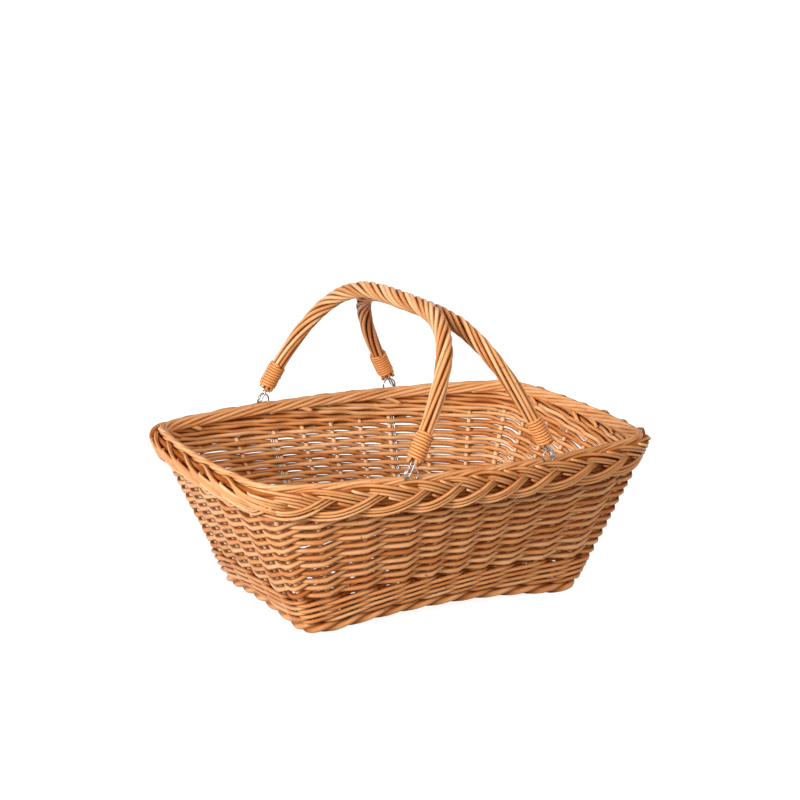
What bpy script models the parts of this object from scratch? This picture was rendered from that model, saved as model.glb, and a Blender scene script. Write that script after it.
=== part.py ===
"""Wicker display basket with two folding handles.

A flared rectangular willow basket in square work: a domed base of sticks and
slewed rods, a roped foot, side stakes and corner posts, a waled upsett, plain
randing up to a plaited border, four steel hinge eyes on the long sides, and two
bundled-rod handles whose wire hooks turn in those eyes.

The frame: +Z up, X along the basket's length, Y across it, the origin on the
ground under its middle. All lengths are in metres.
"""
import math

import bmesh
import bpy
import numpy as np
from mathutils import Vector

# Driving sizes of the body, measured on the middle of the wall
BASE_LENGTH = 0.308
BASE_WIDTH = 0.197
BASE_CORNER = 0.012
BASE_BOW_LONG = 0.0035
BASE_BOW_SHORT = 0.002
RIM_LENGTH = 0.444
RIM_WIDTH = 0.296
RIM_CORNER = 0.032
RIM_BOW_LONG = 0.0265
RIM_BOW_SHORT = 0.0085
RIM_HEIGHT = 0.156

# The base is domed, so the basket stands on its four corners
CROWN_LONG = 0.010
CROWN_SHORT = 0.0045
CORNER_FLAT_SHARE = 0.90

# The foot, a roped wale that ties the base to the stakes
FOOT_WIDE = 0.0125
FOOT_TALL = 0.0135
FOOT_CHAMFER = 0.0042

# Stakes and posts
STAKE_DIAMETER = 0.0047
POST_DIAMETER = 0.0058
STAKE_BELOW_RIM = 0.0115
STAKE_TOP = RIM_HEIGHT - STAKE_BELOW_RIM
EYE_SIDE_BAYS = 2
END_BAYS_LONG = 3
LEFT_STAKES = 5
RIGHT_STAKES = 6

# The wall's weavers, from the foot up
WALE_ROD = 0.0056
WALE_PITCH = 0.0066
WALE_ROUNDS = 4
WEAVER_ROD = 0.0039
WEAVER_PITCH = 0.0046
RANDING_BELOW_RIM = 0.0155
RANDING_BANDS = 3

# The base mat
BASE_STICKS = 5
BASE_STICK_DIAMETER = 0.0056
SLEW_DIAMETER = 0.0050
SLEW_GAP = 0.0016
TURN_SHARE = 0.62
TURN_INSET_SHARE = 0.33

# The border, an outer plait and an inner rope with a channel between them, which
# lean out with the wall; the sizes across and up are taken in that leaning frame
PLAIT_WIDE = 0.0148
PLAIT_TALL = 0.0360
PLAIT_UP = 0.0026
ROPE_WIDE = 0.0083
ROPE_TALL = 0.0180
BORDER_UP = 0.0046
CHANNEL = 0.0019
CHANNEL_INSET = 0.0005

# The hinges: steel eyes on the rim and hooks on the handles. A pin lies at the
# outer side of its eye, a little below the eye's middle.
EYE_OFFSET = 0.0785
EYE_ABOVE_RIM = 0.0187
EYE_HEIGHT = RIM_HEIGHT + EYE_ABOVE_RIM
EYE_WIRE = 0.0016
EYE_RADIUS = 0.0070
EYE_LEG_SPREAD = 0.0025
EYE_LEG_END = 0.048
EYE_STAKE_GAP = 0.0004
SEAT_ANGLE = math.radians(20)
HOOK_WIRE = 0.0016
HOOK_SPREAD = 0.0070
HOOK_CORNER = 0.0016
HOOK_REACH = 0.012
HOOK_BORE_GAP = 0.0003

# The handles
# Each is bent by hand, so the left one is taller, with its front shoulder higher.
ARCH_HEIGHT_LEFT = 0.1615
ARCH_DROP_RIGHT = 0.0095
ARCH_HEIGHT_RIGHT = ARCH_HEIGHT_LEFT - ARCH_DROP_RIGHT
ARCH_POWER_LEFT = 0.54
ARCH_POWER_RIGHT = 0.48
ARCH_SKEW_LEFT = 0.06
ARCH_SKEW_RIGHT = 0.035
GRIP_DIAMETER = 0.0190
LEG_DIAMETER = 0.0152
ROD_END = 0.0129
MEETING_OFFSET = 0.0036
MEETING_GAP = 0.0002
BINDING_START = 0.0058
BINDING_TURNS = 7
BINDING_WIDE = 0.0026
BINDING_THICK = 0.0018
BINDING_GAP = 0.0009

# Clearances
CLEARANCE = 0.0003
WEAVE_CLEARANCE = 0.0005
MERGE = 0.00001

# Counts that set how finely the round forms are drawn
LOOP_END_STEPS = 5
LOOP_CORNER_STEPS = 3
ARCH_STEPS = 24
ARCH_SAMPLES = 600
EYE_STEPS = 16
BINDING_STEPS = 8
STICK_STEPS = 14
PLAIT_SIDES = 10
ROPE_SIDES = 8
SLOPE_STEP = 0.01
POST_TURN = math.pi / 4

WILLOW = (0.56, 0.31, 0.13, 1.0)
WILLOW_DARK = (0.42, 0.21, 0.09, 1.0)
STEEL = (0.62, 0.62, 0.60, 1.0)


def clear_scene():
    """Remove what the scene starts with."""
    for item in list(bpy.data.objects):
        bpy.data.objects.remove(item, do_unlink=True)


def new_collection(name):
    """Add a collection under the scene's own."""
    group = bpy.data.collections.new(name)
    bpy.context.scene.collection.children.link(group)
    return group


def make_material(name, colour, roughness, metallic):
    """A Principled material of one colour."""
    material = bpy.data.materials.new(name)
    material.use_nodes = True
    shader = material.node_tree.nodes["Principled BSDF"]
    shader.inputs["Base Color"].default_value = colour
    shader.inputs["Roughness"].default_value = roughness
    shader.inputs["Metallic"].default_value = metallic
    return material


def blend(low, high, share):
    """The value that lies a share of the way from low to high."""
    return low + (high - low) * share


class WallPlan:
    """The middle line of the wall at one height: four bowed sides and four corners.

    Side 0 is the front, 1 the right, 2 the back and 3 the left, walked
    counter-clockwise. On a side, along runs from -1 to 1, and a corner is walked
    by a share from 0 to 1.
    """

    def __init__(self, share):
        self.half = (
            blend(BASE_LENGTH, RIM_LENGTH, share) / 2,
            blend(BASE_WIDTH, RIM_WIDTH, share) / 2,
        )
        self.corner = blend(BASE_CORNER, RIM_CORNER, share)
        self.bow = (
            blend(BASE_BOW_LONG, RIM_BOW_LONG, share),
            blend(BASE_BOW_SHORT, RIM_BOW_SHORT, share),
        )

    def side_local(self, side, along):
        """A point of a side, as (run along the side, distance out)."""
        run = self.half[side % 2] - self.corner
        out = self.half[(side + 1) % 2]
        return run * along, out + self.bow[side % 2] * (1 - along * along)

    def corner_local(self, side, share):
        """A point of the corner after a side: a curve that meets both sides' ends in line."""
        near = self.half[side % 2]
        out = self.half[(side + 1) % 2]
        slope_in = -2 * self.bow[side % 2] / (near - self.corner)
        slope_out = 2 * self.bow[(side + 1) % 2] / (out - self.corner)
        reach = self.corner * (1 - slope_out) / (1 + slope_in * slope_out)
        middle = (near - self.corner + reach, out + slope_in * reach)
        first = (near - self.corner, out)
        last = (near, out - self.corner)
        a, b, c = (1 - share) ** 2, 2 * share * (1 - share), share * share
        return tuple(a * p + b * q + c * r for p, q, r in zip(first, middle, last))

    def point(self, station):
        """The plan point of a station, which is (side, along, None) or (side, None, share)."""
        side, along, share = station
        if share is None:
            run, out = self.side_local(side, along)
        else:
            run, out = self.corner_local(side, share)
        return ((run, -out), (out, run), (-run, out), (-out, -run))[side]


def crown(station):
    """How far the domed base lifts the wall's foot at a station."""
    side, along, share = station
    if share is not None or abs(along) >= CORNER_FLAT_SHARE:
        return 0.0
    lift = CROWN_LONG if side % 2 == 0 else CROWN_SHORT
    return lift * (1 - (along / CORNER_FLAT_SHARE) ** 2)


def wall_point(station, height):
    """A point on the middle of the wall, at a height taken at the corners.

    The crown of the base lifts the foot whole, and fades out between it and the rim.
    """
    x, y = WallPlan(height / RIM_HEIGHT).point(station)
    fade = max(0.0, (height - FOOT_TALL) / (RIM_HEIGHT - FOOT_TALL))
    return Vector((x, y, height + crown(station) * (1 - fade)))


def nudged(station, step):
    """A station moved a little counter-clockwise."""
    side, along, share = station
    if share is None:
        return side, along + step, None
    return side, None, share + step


def wall_frame(station, height):
    """The wall's point, its level direction along the wall and its outward normal."""
    here = wall_point(station, height)
    ahead = wall_point(nudged(station, SLOPE_STEP), height)
    run = ahead - wall_point(nudged(station, -SLOPE_STEP), height)
    run.z = 0
    rise = wall_point(station, height + RIM_HEIGHT * SLOPE_STEP) - here
    outward = run.cross(rise).normalized()
    return here, run.normalized(), outward


def wall_lean():
    """How far the wall, and the foot and border with it, leans outward."""
    rim = RIM_WIDTH / 2 + RIM_BOW_LONG
    base = BASE_WIDTH / 2 + BASE_BOW_LONG
    return math.atan2(rim - base, RIM_HEIGHT)


def long_side_alongs():
    """Stake places on a long side: an even run between the eyes, wider bays at the ends."""
    straight = RIM_LENGTH / 2 - RIM_CORNER
    stake_gap = (STAKE_DIAMETER + EYE_WIRE + EYE_LEG_SPREAD) / 2 + EYE_STAKE_GAP
    eye_stake = (EYE_OFFSET - stake_gap) / straight
    inner = [eye_stake * i / EYE_SIDE_BAYS for i in range(1, EYE_SIDE_BAYS + 1)]
    corner_reach = RIM_LENGTH / 2 / straight
    bay = (corner_reach - eye_stake) / END_BAYS_LONG
    outer = [eye_stake + bay * i for i in range(1, END_BAYS_LONG)]
    positive = inner + outer
    return sorted([-a for a in positive] + [0.0] + positive)


def short_side_alongs(count):
    """Stake places on a short side, in even bays between the corner posts."""
    straight = RIM_WIDTH / 2 - RIM_CORNER
    reach = RIM_WIDTH / 2 / straight
    bay = 2 * reach / (count + 1)
    return [-reach + bay * (i + 1) for i in range(count)]


def stations():
    """Every stake and post in order round the wall, an odd number of them."""
    alongs = (
        long_side_alongs(),
        short_side_alongs(RIGHT_STAKES),
        long_side_alongs(),
        short_side_alongs(LEFT_STAKES),
    )
    result = []
    for side, places in enumerate(alongs):
        result += [(side, along, None) for along in places]
        result.append((side, None, 0.5))
    return result


def ring_stations():
    """The stations that a plain ring round the basket is drawn through, the eyes' among them."""
    result = []
    eye = EYE_OFFSET / (RIM_LENGTH / 2 - RIM_CORNER)
    half = [eye / 2, eye, (1 + eye) / 2, 1]
    for side in range(4):
        if side % 2 == 0:
            alongs = [-a for a in half[::-1]] + [0] + half
        else:
            alongs = [blend(-1, 1, i / (LOOP_END_STEPS - 1)) for i in range(LOOP_END_STEPS)]
        result += [(side, along, None) for along in alongs]
        shares = [(i + 1) / (LOOP_CORNER_STEPS + 1) for i in range(LOOP_CORNER_STEPS)]
        result += [(side, None, share) for share in shares]
    return result


def section_curve(name, outline, cutters):
    """A closed flat curve that serves as the section of a swept piece."""
    data = bpy.data.curves.new(name, "CURVE")
    data.dimensions = "2D"
    spline = data.splines.new("POLY")
    spline.points.add(len(outline) - 1)
    for point, (x, y) in zip(spline.points, outline):
        point.co = (x, y, 0, 1)
    spline.use_cyclic_u = True
    guide = bpy.data.objects.new(name, data)
    guide.hide_render = True
    guide.display_type = "WIRE"
    cutters.objects.link(guide)
    return guide


def sweep(name, points, group, material, *, diameter=0.0, sides=6, section=None,
          closed=False, upright=False, scales=None):
    """A tube, or a section, carried along points as one curve object."""
    data = bpy.data.curves.new(name, "CURVE")
    data.dimensions = "3D"
    data.twist_mode = "Z_UP" if upright else "MINIMUM"
    data.use_fill_caps = not closed
    if section is None:
        data.bevel_mode = "ROUND"
        data.bevel_depth = diameter / 2
        data.bevel_resolution = (sides - 4) // 2
    else:
        data.bevel_mode = "OBJECT"
        data.bevel_object = section
    spline = data.splines.new("POLY")
    spline.points.add(len(points) - 1)
    for i, place in enumerate(points):
        spline.points[i].co = (*place, 1)
        spline.points[i].radius = scales[i] if scales else 1.0
    spline.use_cyclic_u = closed
    data.materials.append(material)
    piece = bpy.data.objects.new(name, data)
    group.objects.link(piece)
    return piece


def curve_to_mesh(curve_object, group):
    """Make a capped tube a mesh with its caps welded, so that it can be cut."""
    name = curve_object.name
    graph = bpy.context.evaluated_depsgraph_get()
    mesh = bpy.data.meshes.new_from_object(curve_object.evaluated_get(graph))
    matrix = curve_object.matrix_world.copy()
    parent = curve_object.parent
    bpy.data.objects.remove(curve_object, do_unlink=True)
    weld_mesh(mesh)
    piece = bpy.data.objects.new(name, mesh)
    group.objects.link(piece)
    if parent:
        piece.parent = parent
        piece.matrix_parent_inverse = parent.matrix_world.inverted()
    piece.matrix_world = matrix
    return piece


def weld_mesh(mesh):
    """Merge a mesh's doubled points."""
    work = bmesh.new()
    work.from_mesh(mesh)
    bmesh.ops.remove_doubles(work, verts=work.verts, dist=MERGE)
    bmesh.ops.recalc_face_normals(work, faces=work.faces)
    work.to_mesh(mesh)
    work.free()


def sloped_outline(wide, tall, chamfer, lean):
    """A cut-cornered block that stands on the path, slopes out with the wall and is walked clockwise."""
    x = wide / 2
    upright = (
        (x - chamfer, 0), (-x + chamfer, 0), (-x, chamfer), (-x, tall - chamfer),
        (-x + chamfer, tall), (x - chamfer, tall), (x, tall - chamfer), (x, chamfer),
    )
    return [(out + up * math.tan(lean), up) for out, up in upright]


def oval_outline(wide, tall, sides, out, up, lean):
    """An oval moved out and up from the path, leant outward, and walked clockwise."""
    outline = []
    for i in range(sides):
        angle = -2 * math.pi * (i + 0.5) / sides
        x = out + wide / 2 * math.cos(angle)
        y = up + tall / 2 * math.sin(angle)
        outline.append((
            x * math.cos(lean) + y * math.sin(lean),
            y * math.cos(lean) - x * math.sin(lean),
        ))
    return outline


def build_foot(group, cutters, willow):
    """The roped foot round the base, flat where it stands at the four corners."""
    outline = sloped_outline(FOOT_WIDE, FOOT_TALL, FOOT_CHAMFER, wall_lean())
    section = section_curve("foot_section", outline, cutters)
    points = [wall_point(station, 0.0) for station in ring_stations()]
    sweep("foot_wale", points, group, willow, section=section, closed=True, upright=True)


def base_lift(x, y):
    """How far the domed base stands above its corners at a plan point."""
    half_x = BASE_LENGTH / 2 * CORNER_FLAT_SHARE
    half_y = BASE_WIDTH / 2 * CORNER_FLAT_SHARE
    along = CROWN_LONG * max(0.0, 1 - (x / half_x) ** 2)
    across = CROWN_SHORT * max(0.0, 1 - (y / half_y) ** 2)
    return along + across


def slew_swing():
    """How far the base's strand swings over and under a stick."""
    return (BASE_STICK_DIAMETER + SLEW_DIAMETER) / 2 + 2 * CLEARANCE


def base_middle(x, y, up=0.0):
    """A point of the base mat's middle layer, raised by up."""
    clear = slew_swing() + SLEW_DIAMETER / 2 + CLEARANCE
    return Vector((x, y, clear + base_lift(x, y) + up))


def mat_half_sizes():
    """Half the length and width that the foot leaves free for the base mat."""
    inset = FOOT_WIDE / 2 - FOOT_CHAMFER * math.tan(wall_lean()) + CLEARANCE
    return BASE_LENGTH / 2 - inset, BASE_WIDTH / 2 - inset


def slew_edge():
    """How far past the outer stick's middle the strand turns back."""
    return slew_swing() + CLEARANCE


def stick_rows():
    """The Y places of the base sticks."""
    reach = mat_half_sizes()[1] - SLEW_DIAMETER / 2 - slew_edge()
    return [-reach + 2 * reach * i / (BASE_STICKS - 1) for i in range(BASE_STICKS)]


def build_base_sticks(group, willow):
    """The thick sticks along the base, which its rods are woven on."""
    reach = mat_half_sizes()[0]
    for number, y in enumerate(stick_rows(), 1):
        points = [base_middle(blend(-reach, reach, i / STICK_STEPS), y) for i in range(STICK_STEPS + 1)]
        sweep(f"base_stick_{number}", points, group, willow,
              diameter=BASE_STICK_DIAMETER, sides=6, upright=True)


def build_base_weave(group, willow):
    """One slewed strand woven to and fro over and under the base sticks."""
    reach = mat_half_sizes()[0] - SLEW_DIAMETER / 2
    pitch = SLEW_DIAMETER + SLEW_GAP
    rows = int(2 * reach / pitch)
    places = stick_rows()
    edge = places[-1] + slew_edge()
    points = []
    for row in range(rows + 1):
        x = pitch * (row - rows / 2)
        order = places if row % 2 == 0 else places[::-1]
        for number, y in enumerate(order):
            up = slew_swing() if (number + row) % 2 == 0 else -slew_swing()
            points.append(base_middle(x, y, up))
        if row < rows:
            turn = edge if row % 2 == 0 else -edge
            side = math.copysign(slew_swing() * TURN_SHARE, up)
            points.append(base_middle(x + pitch * TURN_INSET_SHARE, turn, side))
            points.append(base_middle(x + pitch * (1 - TURN_INSET_SHARE), turn, -side))
    sweep("base_weave", points, group, willow, diameter=SLEW_DIAMETER, sides=4)


def build_stakes(group, willow):
    """The side stakes and the four corner posts, from the foot to the border."""
    stake = 0
    post = 0
    for station in stations():
        low = FOOT_TALL + 3 * CLEARANCE
        if station[2] is None:
            stake += 1
            name = f"side_stake_{stake:02d}"
            diameter = STAKE_DIAMETER
        else:
            post += 1
            name = f"corner_post_{post}"
            diameter = POST_DIAMETER
        foot = wall_point(station, low)
        head = wall_point(station, STAKE_TOP)
        lean = (head - foot).normalized()
        foot += lean * (diameter / 2 * math.hypot(lean.x, lean.y) / lean.z)
        sweep(name, [foot, head], group, willow, diameter=diameter, sides=6)


def passing_points(places, step, height, rod):
    """Where a weaver passes a stake, or turns round the outside of a corner post.

    The swing is a little over the two half diameters, because the weaver leaves the
    stake at a slant, and steeper where the bays are narrow.
    """
    station = places[step % len(places)]
    here, run, outward = wall_frame(station, height)
    bays = [(wall_point(places[(step + way) % len(places)], height) - here).length for way in (-1, 1)]
    is_post = station[2] is not None
    touch = ((POST_DIAMETER if is_post else STAKE_DIAMETER) + rod) / 2 + WEAVE_CLEARANCE
    swing = touch * math.hypot(1, 2 * touch / min(bays))
    if step % 2 == 0:
        return [here - outward * swing]
    if not is_post:
        return [here + outward * swing]
    spread = swing * math.tan(POST_TURN / 2)
    return [here + outward * swing - run * spread, here + outward * swing + run * spread]


def weaver_points(start, rounds, pitch, rod, first_step):
    """The path of one weaver: in front of one stake and behind the next, rising steadily."""
    places = stations()
    count = len(places)
    points = []
    for step in range(first_step, first_step + rounds * count + 1):
        height = start + pitch * (step - first_step) / count
        points += passing_points(places, step, height, rod)
    points[0] += (points[1] - points[0]).normalized() * rod
    points[-1] += (points[-2] - points[-1]).normalized() * rod
    return points


def band_rounds(height):
    """The rounds of each band of randing, as many in all as fit from a height to the border."""
    total = int((RIM_HEIGHT - RANDING_BELOW_RIM - height) / WEAVER_PITCH)
    return [(total + band) // RANDING_BANDS for band in range(RANDING_BANDS)]


def build_wall(group, willow, willow_dark):
    """The upsett wale and the bands of randing above it."""
    height = FOOT_TALL + WALE_ROD / 2 + 3 * CLEARANCE
    step = 0
    points = weaver_points(height, WALE_ROUNDS, WALE_PITCH, WALE_ROD, step)
    sweep("upsett_wale", points, group, willow_dark, diameter=WALE_ROD, sides=4, upright=True)
    height += WALE_ROUNDS * WALE_PITCH + (WEAVER_PITCH - WALE_PITCH) / 2 + CLEARANCE
    step += WALE_ROUNDS * len(stations())
    for number, rounds in enumerate(band_rounds(height), 1):
        points = weaver_points(height, rounds, WEAVER_PITCH, WEAVER_ROD, step)
        sweep(f"randing_{number}", points, group, willow, diameter=WEAVER_ROD, sides=4, upright=True)
        height += rounds * WEAVER_PITCH
        step += rounds * len(stations())


def rim_line(station):
    """A point of the middle of the wall carried up to the rim's height."""
    return wall_point(station, RIM_HEIGHT)


def build_border(group, cutters, willow):
    """The border's outer plait and inner rope."""
    points = [rim_line(station) for station in ring_stations()]
    plait_out = -CHANNEL_INSET + (CHANNEL + PLAIT_WIDE) / 2
    rope_out = -CHANNEL_INSET - (CHANNEL + ROPE_WIDE) / 2
    shapes = (
        ("border_plait", PLAIT_WIDE, PLAIT_TALL, PLAIT_SIDES, plait_out, PLAIT_UP),
        ("border_rope", ROPE_WIDE, ROPE_TALL, ROPE_SIDES, rope_out, BORDER_UP),
    )
    for name, wide, tall, sides, out, up in shapes:
        outline = oval_outline(wide, tall, sides, out, up, wall_lean())
        section = section_curve(f"{name}_section", outline, cutters)
        sweep(name, points, group, willow, section=section, closed=True, upright=True)


def channel_point(station, up):
    """A point of the middle of the border's channel, measured up the leaning border."""
    here, run, outward = wall_frame(station, RIM_HEIGHT)
    level = Vector((outward.x, outward.y, 0)).normalized()
    lean = wall_lean()
    across = up * math.sin(lean) - CHANNEL_INSET * math.cos(lean)
    rise = up * math.cos(lean) + CHANNEL_INSET * math.sin(lean)
    return here + level * across + Vector((0, 0, rise))


def eye_station(front, right):
    """The place on the rim where an eye stands."""
    along = EYE_OFFSET / (RIM_LENGTH / 2 - RIM_CORNER)
    return (0 if front else 2, along if right == front else -along, None)


def hinge_line_y():
    """How far from the middle the pins lie: over the channel, where the eyes' rings enter it."""
    lean = wall_lean()
    ring_foot = EYE_HEIGHT - EYE_RADIUS - RIM_HEIGHT - CHANNEL_INSET * math.sin(lean)
    return -channel_point(eye_station(True, True), ring_foot / math.cos(lean)).y


def pin_place():
    """How far from the middle, and how high, a pin lies in its eye."""
    seat = EYE_RADIUS - (EYE_WIRE + HOOK_WIRE) / 2 - CLEARANCE
    return EYE_OFFSET + seat * math.cos(SEAT_ANGLE), EYE_HEIGHT - seat * math.sin(SEAT_ANGLE)


def eye_points(front, right):
    """One wire: up a leg, round the ring and down the other leg beside its stake."""
    sign_x = 1 if right else -1
    sign_y = -1 if front else 1
    half = EYE_LEG_SPREAD / 2
    station = eye_station(front, right)
    run = wall_frame(station, RIM_HEIGHT)[1]
    level = run if run.x > 0 else -run
    centre = Vector((sign_x * EYE_OFFSET, sign_y * hinge_line_y(), EYE_HEIGHT))
    opening = math.asin(half / EYE_RADIUS)
    ring = []
    for i in range(EYE_STEPS + 1):
        angle = blend(opening - math.pi / 2, math.pi * 3 / 2 - opening, i / EYE_STEPS)
        ring.append(centre + EYE_RADIUS * (level * math.cos(angle) + Vector((0, 0, math.sin(angle)))))
    stakes = long_side_alongs()
    eye_stake = stakes[len(stakes) // 2 + EYE_SIDE_BAYS]
    along = eye_stake if right == front else -eye_stake
    stake_gap = (STAKE_DIAMETER + EYE_WIRE + EYE_LEG_SPREAD) / 2 + EYE_STAKE_GAP

    def leg(spread):
        """The leg from its ring end down through the border's channel and the wall."""
        points = [channel_point(station, BORDER_UP) + level * spread]
        for height in (STAKE_TOP, EYE_LEG_END):
            here, run, outward = wall_frame((station[0], along, None), height)
            away = run if (run.x > 0) == right else -run
            points.append(here + away * (stake_gap + sign_x * spread))
        return points

    return leg(half)[::-1] + ring + leg(-half)


def build_eyes(group, steel):
    """The four hinge eyes on the long sides of the rim."""
    for front in (True, False):
        for right in (False, True):
            name = f"eye_{'right' if right else 'left'}_{'front' if front else 'back'}"
            sweep(name, eye_points(front, right), group, steel, diameter=EYE_WIRE, sides=6)


class Arch:
    """A handle's middle line in its own plane, from the front pin over to the back one."""

    def __init__(self, height, power, skew):
        turn = np.linspace(0, math.pi, ARCH_SAMPLES)
        reach = hinge_line_y()
        cosine = np.cos(turn)
        across = -reach * np.sign(cosine) * np.abs(cosine) ** power
        rise = height * np.sin(turn) * (1 + skew * cosine)
        steps = np.hypot(np.diff(across), np.diff(rise))
        self.run = np.concatenate([[0.0], np.cumsum(steps)])
        self.across = across
        self.rise = rise
        self.length = float(self.run[-1])

    def point(self, run):
        """The point at a distance along the arch."""
        y = float(np.interp(run, self.run, self.across))
        z = float(np.interp(run, self.run, self.rise))
        return Vector((0, y, z))

    def frame(self, run):
        """The point, the direction along the arch and the direction across it in its plane."""
        reach = BINDING_WIDE
        ahead = (self.point(run + reach) - self.point(run - reach)).normalized()
        return self.point(run), ahead, Vector((1, 0, 0)).cross(ahead)

    def diameter(self, run):
        """The bundle is thicker at the grip than at its bound ends."""
        share = math.sin(math.pi * run / self.length) ** 2
        return blend(LEG_DIAMETER, GRIP_DIAMETER, share)


def handle_leans():
    """How far the left and the right handle lean in from upright, with their grips just clear.

    The grips' middles stand a set distance apart. The right handle is the lower one,
    so its distance along X is found from the difference of their heights.
    """
    pin_x = pin_place()[0]
    apart = GRIP_DIAMETER + MEETING_GAP
    left_lean = math.asin((pin_x + MEETING_OFFSET - apart / 2) / ARCH_HEIGHT_LEFT)
    left_x = ARCH_HEIGHT_LEFT * math.sin(left_lean) - pin_x
    left_top = ARCH_HEIGHT_LEFT * math.cos(left_lean)
    span = pin_x - left_x
    reach = math.hypot(span, left_top)
    turn = math.atan2(left_top, span)
    cosine = (reach ** 2 + ARCH_HEIGHT_RIGHT ** 2 - apart ** 2) / (2 * reach * ARCH_HEIGHT_RIGHT)
    return left_lean, math.pi / 2 - turn - math.acos(cosine)


def build_pivot(name, right, group):
    """An empty on the hinge line, leaning as the handle rests."""
    sign = 1 if right else -1
    pin_x, pin_z = pin_place()
    pivot = bpy.data.objects.new(name, None)
    pivot.location = (sign * pin_x, 0, pin_z)
    pivot.rotation_euler = (0, -sign * handle_leans()[right], 0)
    group.objects.link(pivot)
    bpy.context.view_layer.update()
    return pivot


def hang(piece, pivot):
    """Parent a piece to a handle's pivot, in the pivot's own frame."""
    piece.parent = pivot
    return piece


def end_frame(arch, back, run):
    """A frame at a distance from one pin, with its direction pointing up the leg."""
    if back:
        here, ahead, across = arch.frame(arch.length - run)
        return here, -ahead, across
    return arch.frame(run)


def leg_axis(arch, back):
    """The straight line of the hook in a leg: its foot on the pin, and its direction."""
    here, ahead, across = end_frame(arch, back, ROD_END)
    pin = arch.point(arch.length if back else 0.0)
    return pin, (here - pin).normalized()


def hook_points(arch, back):
    """The hook: two legs in the bundle and a pin between them through the eye."""
    pin, up = leg_axis(arch, back)
    sideways = Vector((1, 0, 0)).cross(up)
    half = HOOK_SPREAD / 2
    here = end_frame(arch, back, ROD_END)[0]
    top = (here - pin).length + HOOK_REACH
    corner = HOOK_CORNER
    outline = (
        (-half, top), (-half, corner), (-half + corner, 0), (half - corner, 0), (half, corner), (half, top),
    )
    return [pin + sideways * a + up * b for a, b in outline]


def build_hook(name, arch, back, pivot, group, steel):
    """The steel hook in one end of a handle."""
    hang(sweep(name, hook_points(arch, back), group, steel, diameter=HOOK_WIRE, sides=6), pivot)


def cut(piece, cutter):
    """Subtract a cutter from a piece."""
    modifier = piece.modifiers.new(cutter.name, "BOOLEAN")
    modifier.operation = "DIFFERENCE"
    modifier.solver = "EXACT"
    modifier.object = cutter


def build_bore(name, start, end, pivot, cutters, steel):
    """A cutter for one leg of a hook."""
    diameter = HOOK_WIRE + 2 * HOOK_BORE_GAP
    wire = hang(sweep(name, [start, end], cutters, steel, diameter=diameter, sides=6), pivot)
    bpy.context.view_layer.update()
    cutter = curve_to_mesh(wire, cutters)
    cutter.hide_render = True
    cutter.display_type = "WIRE"
    return cutter


def build_rods(name, arch, pivot, group, cutters, willow, steel):
    """The bundle of rods of a handle, bored for the legs of its hooks."""
    runs = [blend(ROD_END, arch.length - ROD_END, i / ARCH_STEPS) for i in range(ARCH_STEPS + 1)]
    points = [arch.point(run) for run in runs]
    scales = [arch.diameter(run) / GRIP_DIAMETER for run in runs]
    curve = hang(sweep(name, points, group, willow, diameter=GRIP_DIAMETER, sides=12, scales=scales), pivot)
    bpy.context.view_layer.update()
    piece = curve_to_mesh(curve, group)
    for back in (False, True):
        up = leg_axis(arch, back)[1]
        legs = hook_points(arch, back)
        for number, leg in enumerate((legs[0], legs[-1])):
            end = leg + up * HOOK_BORE_GAP
            start = leg - up * (HOOK_REACH + ROD_END / 2)
            cutter = build_bore(f"{name}_bore_{int(back)}{number}", start, end, pivot, cutters, steel)
            cut(piece, cutter)
    return piece


def binding_points(arch, back):
    """The cane binding's path: even turns round the leg, one unbroken strand."""
    pitch = BINDING_WIDE + BINDING_GAP
    points = []
    for i in range(BINDING_TURNS * BINDING_STEPS + 1):
        turns = i / BINDING_STEPS
        run = ROD_END + BINDING_START + BINDING_WIDE / 2 + pitch * turns
        here, ahead, across = end_frame(arch, back, run)
        radius = (arch.diameter(run) + BINDING_THICK) / 2 + CLEARANCE
        angle = 2 * math.pi * turns
        facet = math.cos(math.pi / BINDING_STEPS)
        outward = Vector((math.cos(angle), 0, 0)) + across * math.sin(angle)
        points.append(here + outward * (radius / facet))
    return points


def least_turn_gap(points):
    """The least gap between neighbouring turns of the binding."""
    gap = math.inf
    for i in range(len(points) - BINDING_STEPS):
        gap = min(gap, (points[i + BINDING_STEPS] - points[i]).length - BINDING_WIDE)
    return gap


def build_binding(name, arch, back, pivot, group, section, cane):
    """The binding on one end of a handle."""
    points = binding_points(arch, back)
    print(f"{name}: least gap between turns {least_turn_gap(points) * 1000:.2f} mm")
    curve = hang(sweep(name, points, group, cane, section=section, upright=True), pivot)
    bpy.context.view_layer.update()
    curve_to_mesh(curve, group)


def build_handles(group, cutters, willow, cane, steel):
    """Both handles with their hooks and bindings."""
    wide, thick = BINDING_WIDE / 2, BINDING_THICK / 2
    outline = [(-thick, -wide), (thick, -wide), (thick, wide), (-thick, wide)]
    section = section_curve("cane_section", outline, cutters)
    for right in (False, True):
        side = "right" if right else "left"
        if right:
            arch = Arch(ARCH_HEIGHT_RIGHT, ARCH_POWER_RIGHT, ARCH_SKEW_RIGHT)
        else:
            arch = Arch(ARCH_HEIGHT_LEFT, ARCH_POWER_LEFT, ARCH_SKEW_LEFT)
        pivot = build_pivot(f"pivot_{side}", right, group)
        build_rods(f"handle_{side}", arch, pivot, group, cutters, willow, steel)
        for back in (False, True):
            end = "back" if back else "front"
            build_hook(f"hook_{side}_{end}", arch, back, pivot, group, steel)
            build_binding(f"binding_{side}_{end}", arch, back, pivot, group, section, cane)
        lean = math.degrees(handle_leans()[right])
        print(f"handle_{side}: lean {lean:.3f} degrees, hinge at {pivot.location[:]}")
    print(f"pin half span {hinge_line_y():.5f}")


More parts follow.
